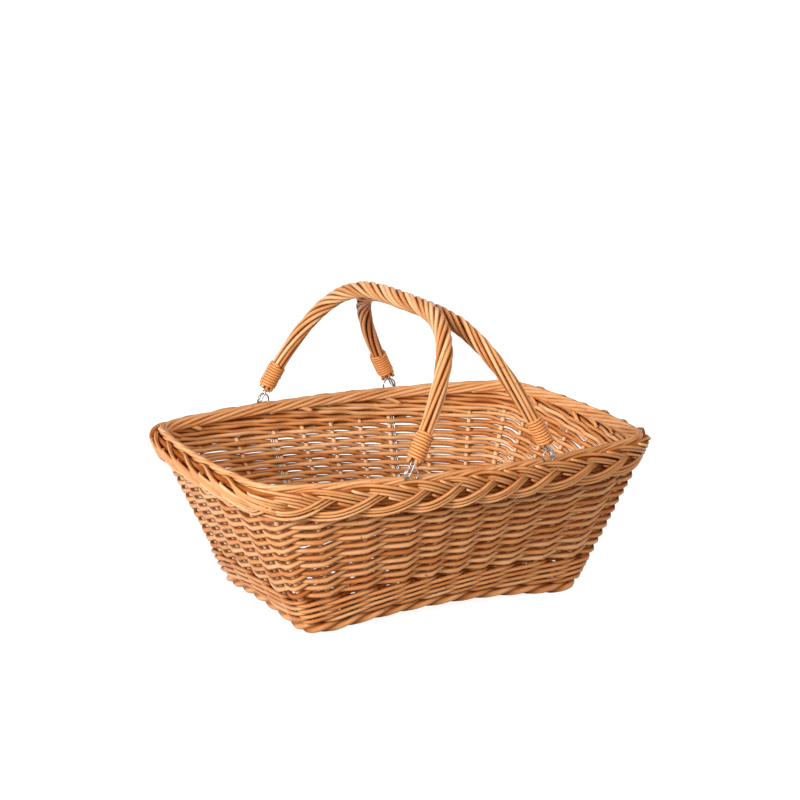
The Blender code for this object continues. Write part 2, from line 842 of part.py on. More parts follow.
def main():
    """Build the whole basket."""
    clear_scene()
    group = new_collection("wicker_display_basket")
    cutters = new_collection("cutters")
    willow = make_material("buff_willow", WILLOW, 0.5, 0.0)
    willow_dark = make_material("buff_willow_dark", WILLOW_DARK, 0.55, 0.0)
    steel = make_material("bright_steel_wire", STEEL, 0.25, 1.0)
    build_foot(group, cutters, willow_dark)
    build_base_sticks(group, willow)
    build_base_weave(group, willow_dark)
    build_stakes(group, willow)
    build_wall(group, willow, willow_dark)
    build_border(group, cutters, willow)
    build_eyes(group, steel)
    build_handles(group, cutters, willow, willow_dark, steel)


main()
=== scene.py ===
"""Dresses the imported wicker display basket: every rod woven as its own round rod.

The wall is French randing, one rising rod to each stake, on a three-rod wale; the rim
is a flat four-strand plait with a rope of rods inside it; the handles are bundles of
twisted rods, bound with split willow and hung by steel hooks in steel eyes.
"""
import math

import bpy
import numpy as np
from bpy.props import FloatProperty, FloatVectorProperty, IntProperty, PointerProperty
from mathutils import Matrix, Vector


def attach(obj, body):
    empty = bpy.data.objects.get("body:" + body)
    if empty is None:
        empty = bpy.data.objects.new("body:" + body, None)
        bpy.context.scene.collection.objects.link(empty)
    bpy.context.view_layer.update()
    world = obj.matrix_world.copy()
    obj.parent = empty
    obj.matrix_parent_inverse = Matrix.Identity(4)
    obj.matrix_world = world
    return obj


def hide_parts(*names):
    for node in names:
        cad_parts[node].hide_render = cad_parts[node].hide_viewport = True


bl_info = {
    "name": "Wicker Display Basket",
    "version": (1, 0, 0),
    "blender": (4, 5, 0),
    "location": "View3D > Sidebar > Wicker",
    "description": "Builds the rods, border, handles and hinges of a willow basket",
    "category": "Add Mesh",
}

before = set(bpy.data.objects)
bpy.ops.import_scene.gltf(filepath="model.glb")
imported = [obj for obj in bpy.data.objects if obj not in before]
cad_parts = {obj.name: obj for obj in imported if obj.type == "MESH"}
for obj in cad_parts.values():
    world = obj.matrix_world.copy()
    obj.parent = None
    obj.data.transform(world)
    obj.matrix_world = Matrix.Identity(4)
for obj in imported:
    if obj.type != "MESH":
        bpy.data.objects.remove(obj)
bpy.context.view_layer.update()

# The wall's plan at the ground and at the rim, in metres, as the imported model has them
BASE_SIZE = (0.308, 0.197)
BASE_CORNER = 0.012
BASE_BOW = (0.0035, 0.002)
RIM_SIZE = (0.444, 0.296)
RIM_CORNER = 0.032
RIM_BOW = (0.0265, 0.0085)
RIM_HEIGHT = 0.156
CROWN = (0.010, 0.0045)
CORNER_FLAT_SHARE = 0.90
FOOT_TALL = 0.0135
EYE_OFFSET = 0.0785
EYE_HEIGHT = 0.1747
EYE_RADIUS = 0.0070
EYE_LEG_SPREAD = 0.0025
EYE_TO_STAKE = 0.0048
STAKE_TOP = 0.1445
STAKE_COUNT = 33
CHANNEL_INSET = 0.0005
BORDER_UP = 0.0046

# The plait, in metres: its middle up and out from the rim's line, how far a corner draws
# it in, how far its crest stands in, and the mean length of a strand's turn
PLAIT_UP = -0.0012
PLAIT_OUT = 0.0076
CORNER_IN = 0.0018
CREST_IN = 0.0040
TURN_LONG = 0.180
# How flat a strand's swing is at its crest and its foot, and what share of its swings up and
# out a corner takes away
SWING_FLAT = 0.4
CORNER_SHARE = (0.12, 0.5)
# On the long sides and on the short ones: how far the plait's foot stands in, in metres, how
# far the rise is in front, how much longer the fall is, and a rod's room in diameters
FOOT_IN = (0.0010, 0.0026)
RISE_FRONT = (0.65, -0.75)
FALL_LONGER = (-0.14, 0.28)
ROD_ROOM = (1.12, 1.02)

# The hinges and the handles' arches, left then right
PIN = (0.083292, 0.172956)
PIN_SPAN = 0.17483
ARCH_HEIGHT = (0.1615, 0.1520)
ARCH_POWER = (0.54, 0.48)
ARCH_SKEW = (0.06, 0.035)
GRIP_DIAMETER = 0.0190
LEG_DIAMETER = 0.0152
ROD_END = 0.0129
MEETING_OFFSET = 0.0036
MEETING_GAP = 0.0002

# Points of a rod of the wall from one stake to the next
BAY_STEPS = 6

# The randing: how many rows a rod rises above its even climb in the bay where it comes out
# and in the bay where it goes in, how far before a stake its swing is, how round the swing
# is, how much taller the rod is outside a stake, and what share of that it is inside one
HUMP_OUT = 0.12
HUMP_IN = 0.30
SWING_AHEAD = 0.09
SWING_ROUND = 0.96
FLOAT_TALLER = 0.26
INSIDE_SHARE = 0.15

# The height under the border at which the outer swings end, and over what height they fade
SWING_END = 0.1405
SWING_FADE = 0.006

UP = np.array((0.0, 0.0, 1.0))


def linear(code):
    """The linear colour of an sRGB hex code, by the sRGB transfer curve."""
    values = [int(code[i:i + 2], 16) / 255 for i in (1, 3, 5)]
    return tuple(v / 12.92 if v <= 0.04045 else ((v + 0.055) / 1.055) ** 2.4 for v in values)


def length(name, about, default):
    """A size in metres that the panel shows."""
    return FloatProperty(
        name=name, description=about, default=default, min=0, precision=4, unit="LENGTH"
    )


def colour(name, about, code):
    """A colour that the panel shows."""
    return FloatVectorProperty(
        name=name, description=about, default=linear(code), subtype="COLOR", min=0, max=1
    )


def number(kind, name, about, default, least=1):
    """A count or a number of turns that the panel shows."""
    return kind(name=name, description=about, default=default, min=least)


class WickerWall(bpy.types.PropertyGroup):
    """The sizes of the wall's and the base's rods."""

    stake: length("Stake", "Diameter of a side stake", 0.0047)
    post: length("Corner post", "Diameter of a corner post", 0.0058)
    weaver: length("Weaver", "Diameter of a rod of the randing at its butt", 0.0053)
    weaver_tip: length("Weaver tip", "Diameter of a rod of the randing at its tip", 0.0050)
    row: length("Row", "Height from one row of the randing to the next", 0.0045)
    rows: number(IntProperty, "Rows", "Rows of randing", 26, 4)
    wale: length("Wale rod", "Diameter of a rod of the upsett wale", 0.0042)
    wale_row: length("Wale round", "Height of one round of the upsett wale", 0.0066)
    wale_rows: number(IntProperty, "Wale rounds", "Rounds of the upsett wale", 4)
    foot: length("Foot rod", "Diameter of a strand of the roped foot", 0.0066)
    stick: length("Base stick", "Diameter of a stick of the base", 0.0056)
    slew: length("Base rod", "Diameter of a rod woven in the base", 0.0034)


class WickerBorder(bpy.types.PropertyGroup):
    """The sizes of the plaited border and of the rope inside it."""

    rod: length("Plait rod", "Diameter of a rod of the plait", 0.0037)
    swing: length("Plait swing", "How far a strand swings up and down the border", 0.0131)
    depth: length("Plait depth", "How far a strand swings in and out", 0.0036)
    rope_rod: length("Rope rod", "Diameter of a rod of the inner rope", 0.0046)
    rope_turns: number(IntProperty, "Rope turns", "Turns of the rope round the rim", 9)


class WickerHandle(bpy.types.PropertyGroup):
    """The sizes of the handles' rods, bindings and wire."""

    rods: number(IntProperty, "Rods", "Rods round a handle", 8, 5)
    grip_rod: length("Rod at the grip", "Diameter of a handle's rod at the top", 0.0052)
    leg_rod: length("Rod at the leg", "Diameter of a handle's rod at its ends", 0.0042)
    lay: length("Lay", "Length of one turn of the rods at the top", 0.115)
    binding: length("Binding strand", "Width of a turn of the binding", 0.0030)
    binding_turns: number(FloatProperty, "Binding turns", "Turns of a binding", 8.4, 2)
    hook_wire: length("Hook wire", "Diameter of a hook's wire", 0.0017)
    eye_wire: length("Eye wire", "Diameter of an eye's wire", 0.0017)


class WickerColours(bpy.types.PropertyGroup):
    """The colours of the willow, the binding, the wire and the stage."""

    willow_dark: colour("Willow, dark", "The darkest rods", "#B06026")
    willow: colour("Willow", "The middle of the rods", "#D9985E")
    willow_pale: colour("Willow, pale", "The palest rods", "#F0C192")
    # Painted shade: this dark colour is laid in the grooves and crossings where the rods shade each
    # other
    painted_shade: colour("Painted shade", "What gathers where rods cross", "#6A2904")
    pith: colour("Cut end", "The cut end of a rod", "#F0D5AC")
    binding: colour("Binding", "The split willow of the bindings", "#D88E4E")
    wire: colour("Wire", "The bright steel wire", "#A8A6A2")
    floor: colour("Floor", "The floor under its white glow", "#969593")


GROUPS = {
    "wicker_wall": WickerWall,
    "wicker_border": WickerBorder,
    "wicker_handle": WickerHandle,
    "wicker_colours": WickerColours,
}


def unit(vectors):
    """Each vector divided by its own length."""
    return vectors / np.linalg.norm(vectors, axis=-1, keepdims=True)


def blend(low, high, share):
    """The value a share of the way from low to high."""
    return low + (high - low) * share


# The wall's shape


def loop_edges():
    """Where the rim's four sides and four corners begin, as lengths along it.

    Even parts are sides, as long as the straight run of the rim; odd ones are corners,
    each a quarter turn of the rim's corner size.
    """
    sides = [RIM_SIZE[side % 2] - 2 * RIM_CORNER for side in range(4)]
    parts = np.array([[side, RIM_CORNER * math.pi / 2] for side in sides]).ravel()
    return np.concatenate([[0.0], np.cumsum(parts)])


LOOP = loop_edges()


def wall(place, height):
    """The middle of the wall at places along the rim's loop and at heights.

    The plan blends from base to rim with the height. A side is a parabola, out by its
    bow times one less the square of the share along it, and a corner is a quadratic
    curve from side to side. The crown of the base lifts the foot and fades to the rim.
    """
    place, height = np.broadcast_arrays(np.asarray(place, float) % LOOP[-1], np.asarray(height, float))
    part = np.clip(np.searchsorted(LOOP, place, side="right") - 1, 0, 7)
    side, in_corner = part // 2, part % 2 == 1
    share = (place - LOOP[part]) / (LOOP[part + 1] - LOOP[part])
    along = 2 * share - 1
    up = height / RIM_HEIGHT
    sizes = [blend(BASE_SIZE[i], RIM_SIZE[i], up) / 2 for i in (0, 1)]
    bows = [blend(BASE_BOW[i], RIM_BOW[i], up) for i in (0, 1)]
    corner = blend(BASE_CORNER, RIM_CORNER, up)
    long_side = side % 2 == 0
    near, out = np.where(long_side, sizes[0], sizes[1]), np.where(long_side, sizes[1], sizes[0])
    bow, bow_next = np.where(long_side, bows[0], bows[1]), np.where(long_side, bows[1], bows[0])
    slope_in = -2 * bow / (near - corner)
    slope_out = 2 * bow_next / (out - corner)
    reach = corner * (1 - slope_out) / (1 + slope_in * slope_out)
    a, b, c = (1 - share) ** 2, 2 * share * (1 - share), share ** 2
    corner_run = a * (near - corner) + b * (near - corner + reach) + c * near
    corner_out = a * out + b * (out + slope_in * reach) + c * (out - corner)
    run = np.where(in_corner, corner_run, (near - corner) * along)
    far = np.where(in_corner, corner_out, out + bow * (1 - along ** 2))
    cos, sin = np.cos(side * math.pi / 2), np.sin(side * math.pi / 2)
    flat = in_corner | (np.abs(along) >= CORNER_FLAT_SHARE)
    lift = np.where(long_side, CROWN[0], CROWN[1]) * (1 - (along / CORNER_FLAT_SHARE) ** 2)
    fade = np.clip((height - FOOT_TALL) / (RIM_HEIGHT - FOOT_TALL), 0, None)
    z = height + np.where(flat, 0.0, lift) * (1 - fade)
    return np.stack([run * cos + far * sin, run * sin - far * cos, z], axis=-1)


def wall_frame(place, height):
    """The wall's point, its level run and its outward normal, by small differences."""
    here = wall(place, height)
    run = wall(np.asarray(place) + 0.001, height) - wall(np.asarray(place) - 0.001, height)
    run[..., 2] = 0
    rise = wall(place, np.asarray(height) + 0.001) - here
    return here, unit(run), unit(np.cross(run, rise))


def side_place(side, along):
    """The length along the loop of a share, minus one to one, along a side."""
    return blend(LOOP[2 * side], LOOP[2 * side + 1], (along + 1) / 2)


def stake_alongs():
    """The stakes' shares along the four sides.

    Between the eyes the bays are even, outside them three even bays reach the corner,
    and the short sides have six stakes on the right and five on the left.
    """
    straight = RIM_SIZE[0] / 2 - RIM_CORNER
    eye_stake = (EYE_OFFSET - EYE_TO_STAKE) / straight
    bay = (RIM_SIZE[0] / 2 / straight - eye_stake) / 3
    half = [eye_stake / 2, eye_stake, eye_stake + bay, eye_stake + 2 * bay]
    long_side = [-a for a in half[::-1]] + [0.0] + half
    reach = RIM_SIZE[1] / (RIM_SIZE[1] - 2 * RIM_CORNER)
    short = [[-reach + 2 * reach * (i + 1) / (count + 1) for i in range(count)] for count in (6, 5)]
    return [long_side, short[0], long_side, short[1]]


def stake_places():
    """The lengths along the loop of every stake and post, and which of them are posts."""
    places, posts = [], []
    for side, alongs in enumerate(stake_alongs()):
        places += [side_place(side, along) for along in alongs]
        places.append((LOOP[2 * side + 1] + LOOP[2 * side + 2]) / 2)
        posts += [False] * len(alongs) + [True]
    return np.array(places), np.array(posts)


PLACES, POSTS = stake_places()

# Counts of stakes over the turns round the basket that the longest rods make
TURNS = np.arange(-1, 6)[:, None]
COUNTS = (np.arange(STAKE_COUNT) + TURNS * STAKE_COUNT).ravel()


def place_of(count):
    """The length along the loop at a count of stakes, evenly between neighbours."""
    return np.interp(count, COUNTS, (PLACES + TURNS * LOOP[-1]).ravel())


def post_share(count):
    """One at a corner post, falling to nothing at the stakes beside it."""
    return np.interp(count, COUNTS, np.tile(POSTS, len(TURNS)))


def wall_lean():
    """The angle at which the wall leans out on its long sides."""
    rim = RIM_SIZE[1] / 2 + RIM_BOW[0]
    base = BASE_SIZE[1] / 2 + BASE_BOW[0]
    return math.atan2(rim - base, RIM_HEIGHT)


def border_point(place, out, up):
    """A point of the leaning border: out across it and up along it from the rim's line."""
    here, _, outward = wall_frame(place, RIM_HEIGHT)
    level = unit(outward * (1, 1, 0))
    lean = wall_lean()
    out, up = np.asarray(out)[..., None], np.asarray(up)[..., None]
    return (
        here
        + level * (out * math.cos(lean) + up * math.sin(lean))
        + UP * (up * math.cos(lean) - out * math.sin(lean))
    ), level


def ripple(rng, shape, steps, size):
    """A slow random waver: three sines of random phase along the last axis."""
    phase = rng.uniform(0, 2 * math.pi, (3,) + shape + (1,))
    rate = rng.uniform(0.25, 0.9, (3,) + shape + (1,))
    return size * np.sin(rate * steps + phase).sum(axis=0) / 2


# Rods as meshes


def rods(paths, facing, radius, sides=8, closed=False, tone=0.5, painted_shade=0.0, flat=1.0, groove_shade=0.0):
    """Round rods along paths, as arrays for one mesh.

    Each rod is a circle of the given radius carried along its path: the point at an
    angle is the path's point plus the radius times the cosine, times flat, along the
    facing direction and the sine along its cross product with the path. The circle's
    seam is on the side away from the facing direction. Open rods are closed by a fan.
    The painted shade in the grooves at a rod's sides is the fourth power of the same sine.
    """
    count, steps = paths.shape[:2]
    if closed:
        along = np.roll(paths, -1, 1) - np.roll(paths, 1, 1)
    else:
        along = np.gradient(paths, axis=1)
    along = unit(along)
    facing = np.broadcast_to(facing, paths.shape)
    normal = unit(facing - along * (facing * along).sum(-1, keepdims=True))
    across = np.cross(along, normal)
    angle = math.pi + 2 * math.pi * np.arange(sides) / sides
    radius = np.broadcast_to(radius, (count, steps))[:, :, None, None]
    flat = np.broadcast_to(flat, (count, steps))[:, :, None, None]
    ring = (
        normal[:, :, None] * np.cos(angle)[:, None] * flat + across[:, :, None] * np.sin(angle)[:, None]
    )
    points = (paths[:, :, None] + ring * radius).reshape(-1, 3)
    follow = np.roll(paths, -1, 1) if closed else paths[:, 1:]
    spans = np.linalg.norm(follow - paths[:, :follow.shape[1]], axis=-1)
    run = np.concatenate([np.zeros((count, 1)), np.cumsum(spans, axis=1)], axis=1)
    rod, step, side = np.indices((count, spans.shape[1], sides))
    ahead, beside = (step + 1) % steps, (side + 1) % sides

    def index(i, j, k):
        """The vertex of a rod at a step of its path and a side of its circle."""
        return (i * steps + j) * sides + k

    corners = (step, side), (step, beside), (ahead, beside), (ahead, side)
    quads = np.stack([index(rod, *corner) for corner in corners], -1).reshape(-1, 4)
    u = np.stack([side, side + 1, side + 1, side], -1) / sides
    v = np.stack([run[rod, step], run[rod, step], run[rod, step + 1], run[rod, step + 1]], -1)
    uv = np.stack([u, v], -1).reshape(-1, 2)
    tone = np.broadcast_to(np.asarray(tone, float).reshape(-1, 1), (count, steps))
    painted_shade = np.broadcast_to(painted_shade, (count, steps))
    tones = np.repeat(tone, sides)
    # Painted shade: the amount given along the rod, and darker grooves at the rod's sides
    painted_shades = np.clip(painted_shade[:, :, None] + groove_shade * np.sin(angle) ** 4, 0, 1).ravel()
    ends = np.zeros(len(points))
    tris = np.zeros((0, 3), int)
    if not closed:
        tips = paths[:, [0, -1]].reshape(-1, 3)
        base = len(points)
        rod, end, side = np.indices((count, 2, sides))
        first = index(rod, end * (steps - 1), side)
        second = index(rod, end * (steps - 1), (side + 1) % sides)
        centre = base + 2 * rod + end
        fan = [np.where(end, first, second), np.where(end, second, first), centre]
        tris = np.stack(fan, -1).reshape(-1, 3)
        tip_u = np.stack([side, side + 1, side + 0.5], -1) / sides
        tip_v = np.stack([np.where(end, run[:, -1][rod], 0.0)] * 3, -1)
        uv = np.concatenate([uv, np.stack([tip_u, tip_v], -1).reshape(-1, 2)])
        points = np.concatenate([points, tips])
        tones = np.concatenate([tones, tone[:, [0, -1]].ravel()])
        painted_shades = np.concatenate([painted_shades, np.zeros(2 * count)])
        ends = np.concatenate([ends, np.ones(2 * count)])
    return {
        "points": points, "quads": quads, "tris": tris, "uv": uv,
        "tone": tones, "painted_shade": painted_shades, "cut": ends,
    }


def make_piece(name, parts, finish, body, replaced):
    """One mesh object from arrays of rods, at the origin, riding on its body."""
    shift = np.cumsum([0] + [len(part["points"]) for part in parts])
    loops, sizes, uvs = [], [], []
    for part, start in zip(parts, shift):
        loops += [(part["quads"] + start).ravel(), (part["tris"] + start).ravel()]
        sizes += [np.full(len(part["quads"]), 4), np.full(len(part["tris"]), 3)]
        uvs.append(part["uv"])
    loops, sizes, uv = np.concatenate(loops), np.concatenate(sizes), np.concatenate(uvs)
    points = np.concatenate([part["points"] for part in parts])
    mesh = bpy.data.meshes.new(name)
    mesh.vertices.add(len(points))
    mesh.vertices.foreach_set("co", points.ravel())
    mesh.loops.add(len(loops))
    mesh.loops.foreach_set("vertex_index", loops.astype(np.int32))
    mesh.polygons.add(len(sizes))
    mesh.polygons.foreach_set("loop_start", (np.cumsum(sizes) - sizes).astype(np.int32))
    mesh.polygons.foreach_set("use_smooth", sizes == 4)
    mesh.uv_layers.new(name="rod").data.foreach_set("uv", uv.ravel())
    for key in ("tone", "painted_shade", "cut"):
        values = np.concatenate([part[key] for part in parts]).astype(np.float32)
        mesh.attributes.new(key, "FLOAT", "POINT").data.foreach_set("value", values)
    mesh.update(calc_edges=True)
    mesh.validate()
    mesh.materials.append(shared_material(finish))
    piece = bpy.data.objects.new(name, mesh)
    bpy.context.scene.collection.objects.link(piece)
    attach(piece, body)
    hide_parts(*replaced)
    return piece


# Materials


def add(tree, kind, inputs=None, **settings):
    """Add one node with its settings, and set or link its inputs."""
    node = tree.nodes.new(kind)
    for key, value in settings.items():
        setattr(node, key, value)
    for socket, value in (inputs or {}).items():
        if isinstance(value, bpy.types.NodeSocket):
            tree.links.new(value, node.inputs[socket])
        else:
            node.inputs[socket].default_value = value
    return node


def new_material(name):
    """A material with its shader, ready for nodes."""
    material = bpy.data.materials.new(name)
    material.use_nodes = True
    return material, material.node_tree, material.node_tree.nodes["Principled BSDF"]


def willow_material(name, colours, pale=0.0):
    """Buff willow: rods boiled in their bark and stripped, so tan to chestnut and satin.

    Each rod has its own tone, fine streaks along its grain, slow mottling and dark buds.
    """
    material, tree, shader = new_material(name)
    place = add(tree, "ShaderNodeUVMap", uv_map="rod").outputs["UV"]
    tone = add(tree, "ShaderNodeAttribute", attribute_name="tone").outputs["Fac"]
    painted_shade = add(tree, "ShaderNodeAttribute", attribute_name="painted_shade").outputs["Fac"]
    cut = add(tree, "ShaderNodeAttribute", attribute_name="cut").outputs["Fac"]
    # A rod's tone times 57 moves it to its own part of the noise
    seed = add(tree, "ShaderNodeMath", {0: tone, 1: 57.0}, operation="MULTIPLY").outputs[0]
    noises = []
    # Lumps round the rod, lumps in a metre of its length, detail and roughness
    for around, run, detail, rough in (
        # Grain streaks about 0.5 mm wide, coarser than real grain so that they show
        (26, 45, 3, 0.55),
        # Mottling in patches about 30 mm long
        (2, 34, 2, 0.55),
        # Buds and scars about 2 mm long, every few centimetres
        (4, 210, 1, 0.4),
    ):
        where = add(tree, "ShaderNodeMapping", {"Vector": place, "Scale": (around, run, 1)})
        noises.append(add(
            tree, "ShaderNodeTexNoise",
            {"Vector": where.outputs[0], "W": seed, "Scale": 1.0, "Detail": detail, "Roughness": rough},
            noise_dimensions="4D",
        ).outputs["Fac"])
    streaks, mottle, buds = noises
    # The rod's tone, with the mottling and the streaks about their middle values of a half
    mixed = pale - 0.625
    for value, share in ((mottle, 0.75), (streaks, 0.5), (tone, 1.0)):
        mixed = add(
            tree, "ShaderNodeMath", {0: value, 1: share, 2: mixed}, operation="MULTIPLY_ADD"
        ).outputs[0]
    ramp = add(tree, "ShaderNodeValToRGB", {"Fac": mixed})
    band = ramp.color_ramp
    band.elements[0].color = (*colours.willow_dark, 1)
    band.elements[0].position = 0.05
    band.elements[1].color = (*colours.willow_pale, 1)
    band.elements[1].position = 0.95
    band.elements.new(0.5).color = (*colours.willow, 1)
    bud = add(
        tree, "ShaderNodeMapRange", {"Value": buds, "From Min": 0.69, "From Max": 0.76, "To Max": 0.7}
    ).outputs[0]
    # The buds, and the painted shade in the grooves and crossings, mix in the dark shade colour
    shade_amount = add(tree, "ShaderNodeMath", {0: painted_shade, 1: 0.95}, operation="MULTIPLY").outputs[0]
    dark = add(tree, "ShaderNodeMath", {0: bud, 1: shade_amount}, operation="MAXIMUM").outputs[0]
    body = ramp.outputs["Color"]
    for share, over in ((dark, colours.painted_shade), (cut, colours.pith)):
        body = add(
            tree, "ShaderNodeMix", {"Factor": share, 6: body, 7: (*over, 1)}, data_type="RGBA"
        ).outputs[2]
    tree.links.new(body, shader.inputs["Base Color"])
    # Satin, smoother between the streaks
    rough = add(tree, "ShaderNodeMapRange", {"Value": streaks, "To Min": 0.32, "To Max": 0.52})
    tree.links.new(rough.outputs[0], shader.inputs["Roughness"])
    relief = add(
        tree, "ShaderNodeMath", {0: buds, 1: 0.6, 2: streaks}, operation="MULTIPLY_ADD"
    ).outputs[0]
    bump = add(tree, "ShaderNodeBump", {"Height": relief, "Strength": 0.35, "Distance": 0.0004})
    tree.links.new(bump.outputs[0], shader.inputs["Normal"])
    # The grooves lose their sheen, painted shade where the rods shade each other
    sheen = add(
        tree, "ShaderNodeMapRange", {"Value": painted_shade, "From Max": 0.5, "To Min": 0.6, "To Max": 0.0}
    ).outputs[0]
    tree.links.new(sheen, shader.inputs["Specular IOR Level"])
    shader.inputs["Specular Tint"].default_value = (1, 0.88, 0.76, 1)
    return material


def skein_material(name, colours):
    """Split willow skein: a flat shaved strip, matt on its shaved side, with a fine grain."""
    material, tree, shader = new_material(name)
    place = add(tree, "ShaderNodeUVMap", uv_map="rod").outputs["UV"]
    tone = add(tree, "ShaderNodeAttribute", attribute_name="tone").outputs["Fac"]
    # Grain streaks about 0.4 mm wide, coarser than real grain so that they show
    where = add(tree, "ShaderNodeMapping", {"Vector": place, "Scale": (14, 60, 1)}).outputs[0]
    streaks = add(
        tree, "ShaderNodeTexNoise", {"Vector": where, "Scale": 1.0, "Detail": 3.0, "Roughness": 0.6}
    ).outputs["Fac"]
    groove_shade = add(tree, "ShaderNodeAttribute", attribute_name="painted_shade").outputs["Fac"]
    # The strand's tone, with the streaks about their middle value and painted shade in the grooves
    level = -0.35
    for value, share in ((streaks, 0.7), (tone, 1.0), (groove_shade, -0.5)):
        level = add(
            tree, "ShaderNodeMath", {0: value, 1: share, 2: level}, operation="MULTIPLY_ADD"
        ).outputs[0]
    ramp = add(tree, "ShaderNodeValToRGB", {"Fac": level})
    band = ramp.color_ramp
    band.elements[0].color = (*colours.willow_dark, 1)
    band.elements[1].color = (*colours.willow_pale, 1)
    band.elements.new(0.5).color = (*colours.binding, 1)
    tree.links.new(ramp.outputs["Color"], shader.inputs["Base Color"])
    shader.inputs["Roughness"].default_value = 0.5
    bump = add(tree, "ShaderNodeBump", {"Height": streaks, "Strength": 0.3, "Distance": 0.0003})
    tree.links.new(bump.outputs[0], shader.inputs["Normal"])
    return material


def wire_material(name, colours):
    """Bright drawn steel wire: bare metal with fine drawing marks along its length."""
    material, tree, shader = new_material(name)
    place = add(tree, "ShaderNodeUVMap", uv_map="rod").outputs["UV"]
    # Drawing marks about 0.3 mm wide, coarser than real ones so that they show
    where = add(tree, "ShaderNodeMapping", {"Vector": place, "Scale": (16, 30, 1)}).outputs[0]
    marks = add(
        tree, "ShaderNodeTexNoise", {"Vector": where, "Scale": 1.0, "Detail": 2.0}
    ).outputs["Fac"]
    rough = add(tree, "ShaderNodeMapRange", {"Value": marks, "To Min": 0.16, "To Max": 0.36})
    dull = [c * 0.8 for c in colours.wire]
    shade = add(
        tree, "ShaderNodeMix", {"Factor": marks, 6: (*dull, 1), 7: (*colours.wire, 1)}, data_type="RGBA"
    )
    tree.links.new(shade.outputs[2], shader.inputs["Base Color"])
    tree.links.new(rough.outputs[0], shader.inputs["Roughness"])
    shader.inputs["Metallic"].default_value = 1.0
    return material


FINISHES = {
    "willow": ("buff_willow", willow_material, {}),
    # The stakes are paler than the other rods, a painted highlight where they show between the rows
    "stake": ("buff_willow_stake", willow_material, {"pale": 0.25}),
    "skein": ("split_willow", skein_material, {}),
    "wire": ("bright_wire", wire_material, {}),
}


def shared_material(finish):
    """The material of a finish, made at its first use."""
    name, make, settings = FINISHES[finish]
    found = bpy.data.materials.get(name)
    return found or make(name, bpy.context.scene.wicker_colours, **settings)


# The body's pieces


class WICKER_OT_foot(bpy.types.Operator):
    """Rope the foot round the base"""

    bl_idname = "wicker.foot"
    bl_label = "Roped foot"

    def execute(self, context):
        """Three strands turn round the foot's middle line at the strand's own radius."""
        sizes = context.scene.wicker_wall
        rng = np.random.default_rng(11)
        strands, turns, steps = 3, 12, 420
        place = np.linspace(0, LOOP[-1], steps, endpoint=False)
        here, _, outward = wall_frame(place, np.zeros(steps))
        level = unit(outward * (1, 1, 0))
        half = FOOT_TALL / 2
        middle = here + level * half * math.tan(wall_lean()) + half * UP
        radius = half - sizes.foot / 2
        phase = 2 * math.pi * (turns * place / LOOP[-1] + np.arange(strands)[:, None] / strands)
        paths = middle + radius * (np.cos(phase)[..., None] * level + np.sin(phase)[..., None] * UP)
        # Painted shade: each strand is darker on its side towards the basket's inside
        painted_shade = 0.3 - 0.3 * np.cos(phase)
        tone = rng.uniform(0.3, 0.7, strands)
        look = {"tone": tone, "painted_shade": painted_shade, "groove_shade": 0.4}
        part = rods(paths, paths - middle, sizes.foot / 2, sides=10, closed=True, **look)
        make_piece("roped_foot", [part], "willow", "basket", ["foot_wale"])
        return {"FINISHED"}


